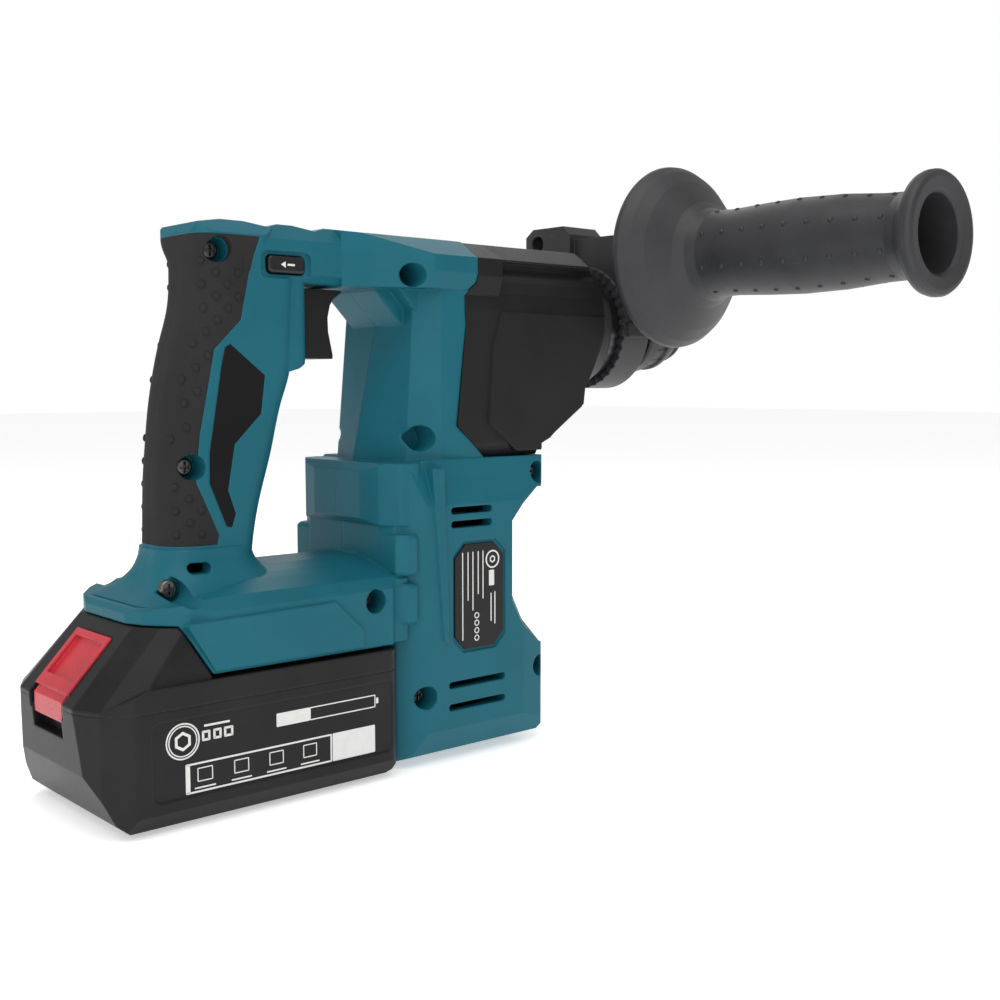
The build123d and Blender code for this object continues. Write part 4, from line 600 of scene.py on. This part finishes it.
class HAMMER_OT_side_grip_dots(bpy.types.Operator):
    """Adds the rows of small dots along the side grip"""

    bl_idname = "hammer.side_grip_dots"
    bl_label = "Side grip dots"

    def execute(self, context):
        sizes = context.scene.hammer_dots
        low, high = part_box("side_grip")
        axis_x = (low.x + high.x) / 2
        axis_z = (low.z + high.z) / 2
        places = []
        for row in range(sizes.side_rows):
            angle = 2 * math.pi * (row + 0.5) / sizes.side_rows
            out = Vector((math.cos(angle), 0, math.sin(angle)))
            for n in range(SIDE_DOT_COUNT):
                y = SIDE_DOT_START - sizes.side_pitch * n
                start = Vector((axis_x, y, axis_z)) + out * CLEAR_OF
                hit = surface_hit("side_grip", start, -out)
                if hit:
                    places.append(standing_on(*hit))
        seed = HAMMER_OT_handle_dots.dome(sizes)
        seed.data.transform(Matrix.Scale(SIDE_DOT_SCALE, 4))
        dots = copies_at(seed, places, "side_grip_dots")
        smooth(dots, 60)
        dress(dots, "side_grip_dots", "handle plastic", "side_grip")
        return {"FINISHED"}


class HAMMER_OT_battery_print(bpy.types.Operator):
    """Prints a plain label on both sides of the battery: a ring, bars, boxes and an outline"""

    bl_idname = "hammer.battery_print"
    bl_label = "Battery print"

    def execute(self, context):
        low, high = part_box("battery_lower_case")
        rear = low.x
        front = high.x - 11 * MM
        top = low.z + 29.9 * MM
        ring = (rear + 29.3 * MM, top - 0.8 * MM)
        shapes = [
            flat_shape(*ring, 12.0 * MM, 12.0 * MM, 0.5 * MM, 32),
            flat_shape(*ring, 10.2 * MM, 10.2 * MM, 0.4 * MM, 32),
            flat_shape(*ring, 6.4 * MM, 6.4 * MM, 0.9 * MM, 6),
            flat_shape(rear + 41.6 * MM, top + 3.0 * MM, 9.4 * MM, 0.7 * MM),
        ]
        for n, wide in enumerate((3.0, 3.0, 3.4)):
            x = rear + (37.6 + 4.1 * n) * MM
            shapes.append(flat_shape(x, top - 0.3 * MM, wide * MM, 3.4 * MM, 0.8 * MM))
        shapes += self.strip(rear + 64 * MM, front, top)
        shapes += self.table(rear + 30 * MM, front, low.z + 11.4 * MM, low.z + 21.3 * MM)
        printed_on(shapes, "battery_lower_case", rear + 60 * MM, top, "battery_print",
                   "battery")
        return {"FINISHED"}

    @staticmethod
    def strip(start, end, z):
        """A long outlined bar, its rear part filled, with a small nub at its end."""
        split = start + 13.2 * MM
        high = 4.6 * MM
        return [
            flat_shape((start + split) / 2, z, split - start, high),
            flat_shape((split + end) / 2, z, end - split, high, 0.4 * MM),
            flat_shape(end + 0.8 * MM, z, 1.0 * MM, high * 0.45),
        ]

    @staticmethod
    def table(start, end, low, high):
        """An outlined field with four small boxes, each over a bar, and a filled field."""
        split = end - 18.8 * MM
        middle = (low + high) / 2
        shapes = [
            flat_shape((start + split) / 2, middle, split - start, high - low, 0.6 * MM),
            flat_shape(start + 1.1 * MM, middle, 1.0 * MM, high - low - 0.8 * MM),
            flat_shape((split + end) / 2, middle, end - split - 0.6 * MM, high - low),
        ]
        for n in range(4):
            x = start + (7 + 13.4 * n) * MM
            shapes.append(flat_shape(x, middle + 0.8 * MM, 5.6 * MM, 4.6 * MM, 0.35 * MM))
            shapes.append(flat_shape(x, low + 1.5 * MM, 7.6 * MM, 0.5 * MM))
        return shapes


class HAMMER_OT_plate_print(bpy.types.Operator):
    """Prints a ring, a bar, upright fine lines and small rings on both rating plates"""

    bl_idname = "hammer.plate_print"
    bl_label = "Plate print"

    def execute(self, context):
        low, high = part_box("rating_plate_right")
        width = high.x - low.x
        tall = high.z - low.z

        def shape(across, down, wide, long, **kind):
            """A shape at shares of the plate's width and height, measured from its top."""
            x = low.x + across * width
            return flat_shape(x, high.z - down * tall, wide * MM, long * MM, **kind)

        shapes = [
            shape(0.77, 0.165, 7.0, 7.0, rim=0.6 * MM, sides=32),
            shape(0.77, 0.165, 3.0, 3.0, rim=0.5 * MM, sides=6),
            shape(0.75, 0.345, 2.6, 6.0),
            shape(0.82, 0.64, 0.5, 12.5),
            shape(0.74, 0.63, 0.5, 11.0),
        ]
        for across, long in ((0.57, 18.5), (0.47, 16.5), (0.36, 22.5), (0.26, 18.5), (0.15, 33.5)):
            shapes.append(shape(across, 0.075 + long * MM / tall / 2, 0.45, long))
        for n in range(4):
            shapes.append(shape(0.44, 0.69 + 0.072 * n, 2.4, 2.4, rim=0.4 * MM, sides=20))
        printed_on(shapes, "rating_plate_right", low.x + width / 2, high.z - tall / 2,
                   "plate_print", "housing")
        return {"FINISHED"}


class HAMMER_OT_direction_marks(bpy.types.Operator):
    """Prints an arrow on both ends of the direction button"""

    bl_idname = "hammer.direction_marks"
    bl_label = "Direction marks"

    def execute(self, context):
        low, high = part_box("direction_button")
        x = (low.x + high.x) / 2
        z = (low.z + high.z) / 2
        shapes = [
            flat_shape(x + 1.5 * MM, z, 3.0 * MM, 0.7 * MM),
            flat_shape(x - 1.4 * MM, z, 2.6 * MM, 2.6 * MM, sides=3, turn=math.radians(90)),
        ]
        printed_on(shapes, "direction_button", x, z, "direction_marks",
                   "direction_button")
        return {"FINISHED"}


class HAMMER_OT_studio(bpy.types.Operator):
    """Sets up the floor, the lights and the camera"""

    bl_idname = "hammer.studio"
    bl_label = "Studio"

    def execute(self, context):
        sizes = context.scene.hammer_studio
        self.floor()
        self.surround(sizes.world)
        self.lamp("key", (-0.35, -0.25, 1.25), (0, -0.02, 0.1), 1.3, sizes.key_power)
        self.lamp("fill", (-1.0, -0.75, 0.45), (0, 0, 0.1), 0.9, sizes.fill_power)
        self.lamp("rim", (0.7, 0.9, 0.8), (0, 0, 0.12), 0.8, sizes.fill_power * 0.8)
        self.camera()
        scene = context.scene
        scene.view_settings.view_transform = "Standard"
        scene.view_settings.look = "None"
        return {"FINISHED"}

    @staticmethod
    def floor():
        nothing_selected()
        bpy.ops.mesh.primitive_plane_add(size=12, location=(0, 0, -0.0002))
        floor = bpy.context.object
        floor.name = "floor"
        paint = Paint("pale floor")
        cloud = paint.noise(0.3, 3.0)
        base = paint.mix(cloud, (0.95, 0.95, 0.95, 1), (0.97, 0.97, 0.97, 1))
        paint.shader.inputs["Emission Color"].default_value = (1, 1, 1, 1)
        paint.shader.inputs["Emission Strength"].default_value = FLOOR_GLOW
        floor.data.materials.append(paint.finish(Base_Color=base, Roughness=0.7))

    @staticmethod
    def surround(strength):
        """A white surround that is seen at full brightness and sheds strength times as much."""
        world = bpy.data.worlds.new("surround")
        bpy.context.scene.world = world
        world.use_nodes = True
        tree = world.node_tree
        sheds = tree.nodes["Background"]
        sheds.inputs["Color"].default_value = (1, 1, 1, 1)
        sheds.inputs["Strength"].default_value = strength
        seen = tree.nodes.new("ShaderNodeBackground")
        seen.inputs["Color"].default_value = (1, 1, 1, 1)
        seen.inputs["Strength"].default_value = 1.0
        path = tree.nodes.new("ShaderNodeLightPath")
        both = tree.nodes.new("ShaderNodeMixShader")
        tree.links.new(path.outputs["Is Camera Ray"], both.inputs[0])
        tree.links.new(sheds.outputs[0], both.inputs[1])
        tree.links.new(seen.outputs[0], both.inputs[2])
        tree.links.new(both.outputs[0], tree.nodes["World Output"].inputs["Surface"])

    @staticmethod
    def lamp(name, place, aim, size, power):
        data = bpy.data.lights.new(name, "AREA")
        data.shape = "SQUARE"
        data.size = size
        data.energy = power
        lamp = bpy.data.objects.new(name, data)
        bpy.context.scene.collection.objects.link(lamp)
        lamp.location = place
        direction = Vector(aim) - Vector(place)
        lamp.rotation_euler = direction.to_track_quat("-Z", "Y").to_euler()

    @staticmethod
    def camera():
        data = bpy.data.cameras.new("camera")
        data.lens = LENS
        data.sensor_width = 36.0
        data.clip_start = 0.01
        camera = bpy.data.objects.new("camera", data)
        bpy.context.scene.collection.objects.link(camera)
        camera.location = CAMERA_PLACE
        camera.rotation_euler = Vector(CAMERA_AHEAD).to_track_quat("-Z", "Y").to_euler()
        bpy.context.scene.camera = camera


class HAMMER_PT_panel(bpy.types.Panel):
    """Lists the steps and the sizes that they read"""

    bl_idname = "HAMMER_PT_panel"
    bl_label = "Rotary hammer"
    bl_space_type = "VIEW_3D"
    bl_region_type = "UI"
    bl_category = "Hammer"

    def draw(self, context):
        for operator in STEPS:
            self.layout.operator(operator.bl_idname)
        for group in ("hammer_colours", "hammer_dots", "hammer_studio"):
            settings = getattr(context.scene, group)
            for name in settings.__annotations__:
                self.layout.prop(settings, name)


STEPS = (
    HAMMER_OT_finishes, HAMMER_OT_handle_dots, HAMMER_OT_side_grip_dots, HAMMER_OT_battery_print,
    HAMMER_OT_plate_print, HAMMER_OT_direction_marks, HAMMER_OT_studio,
)
GROUPS = {"hammer_colours": HammerColours, "hammer_dots": DotSizes, "hammer_studio": StudioSizes}


def register():
    for name, group in GROUPS.items():
        bpy.utils.register_class(group)
        setattr(bpy.types.Scene, name, PointerProperty(type=group))
    for operator in STEPS:
        bpy.utils.register_class(operator)
    bpy.utils.register_class(HAMMER_PT_panel)


def unregister():
    bpy.utils.unregister_class(HAMMER_PT_panel)
    for operator in reversed(STEPS):
        bpy.utils.unregister_class(operator)
    for name, group in GROUPS.items():
        delattr(bpy.types.Scene, name)
        bpy.utils.unregister_class(group)


def main():
    """Runs every step in order."""
    register()
    for operator in STEPS:
        group, name = operator.bl_idname.split(".")
        getattr(getattr(bpy.ops, group), name)()


if __name__ == "__main__":
    main()
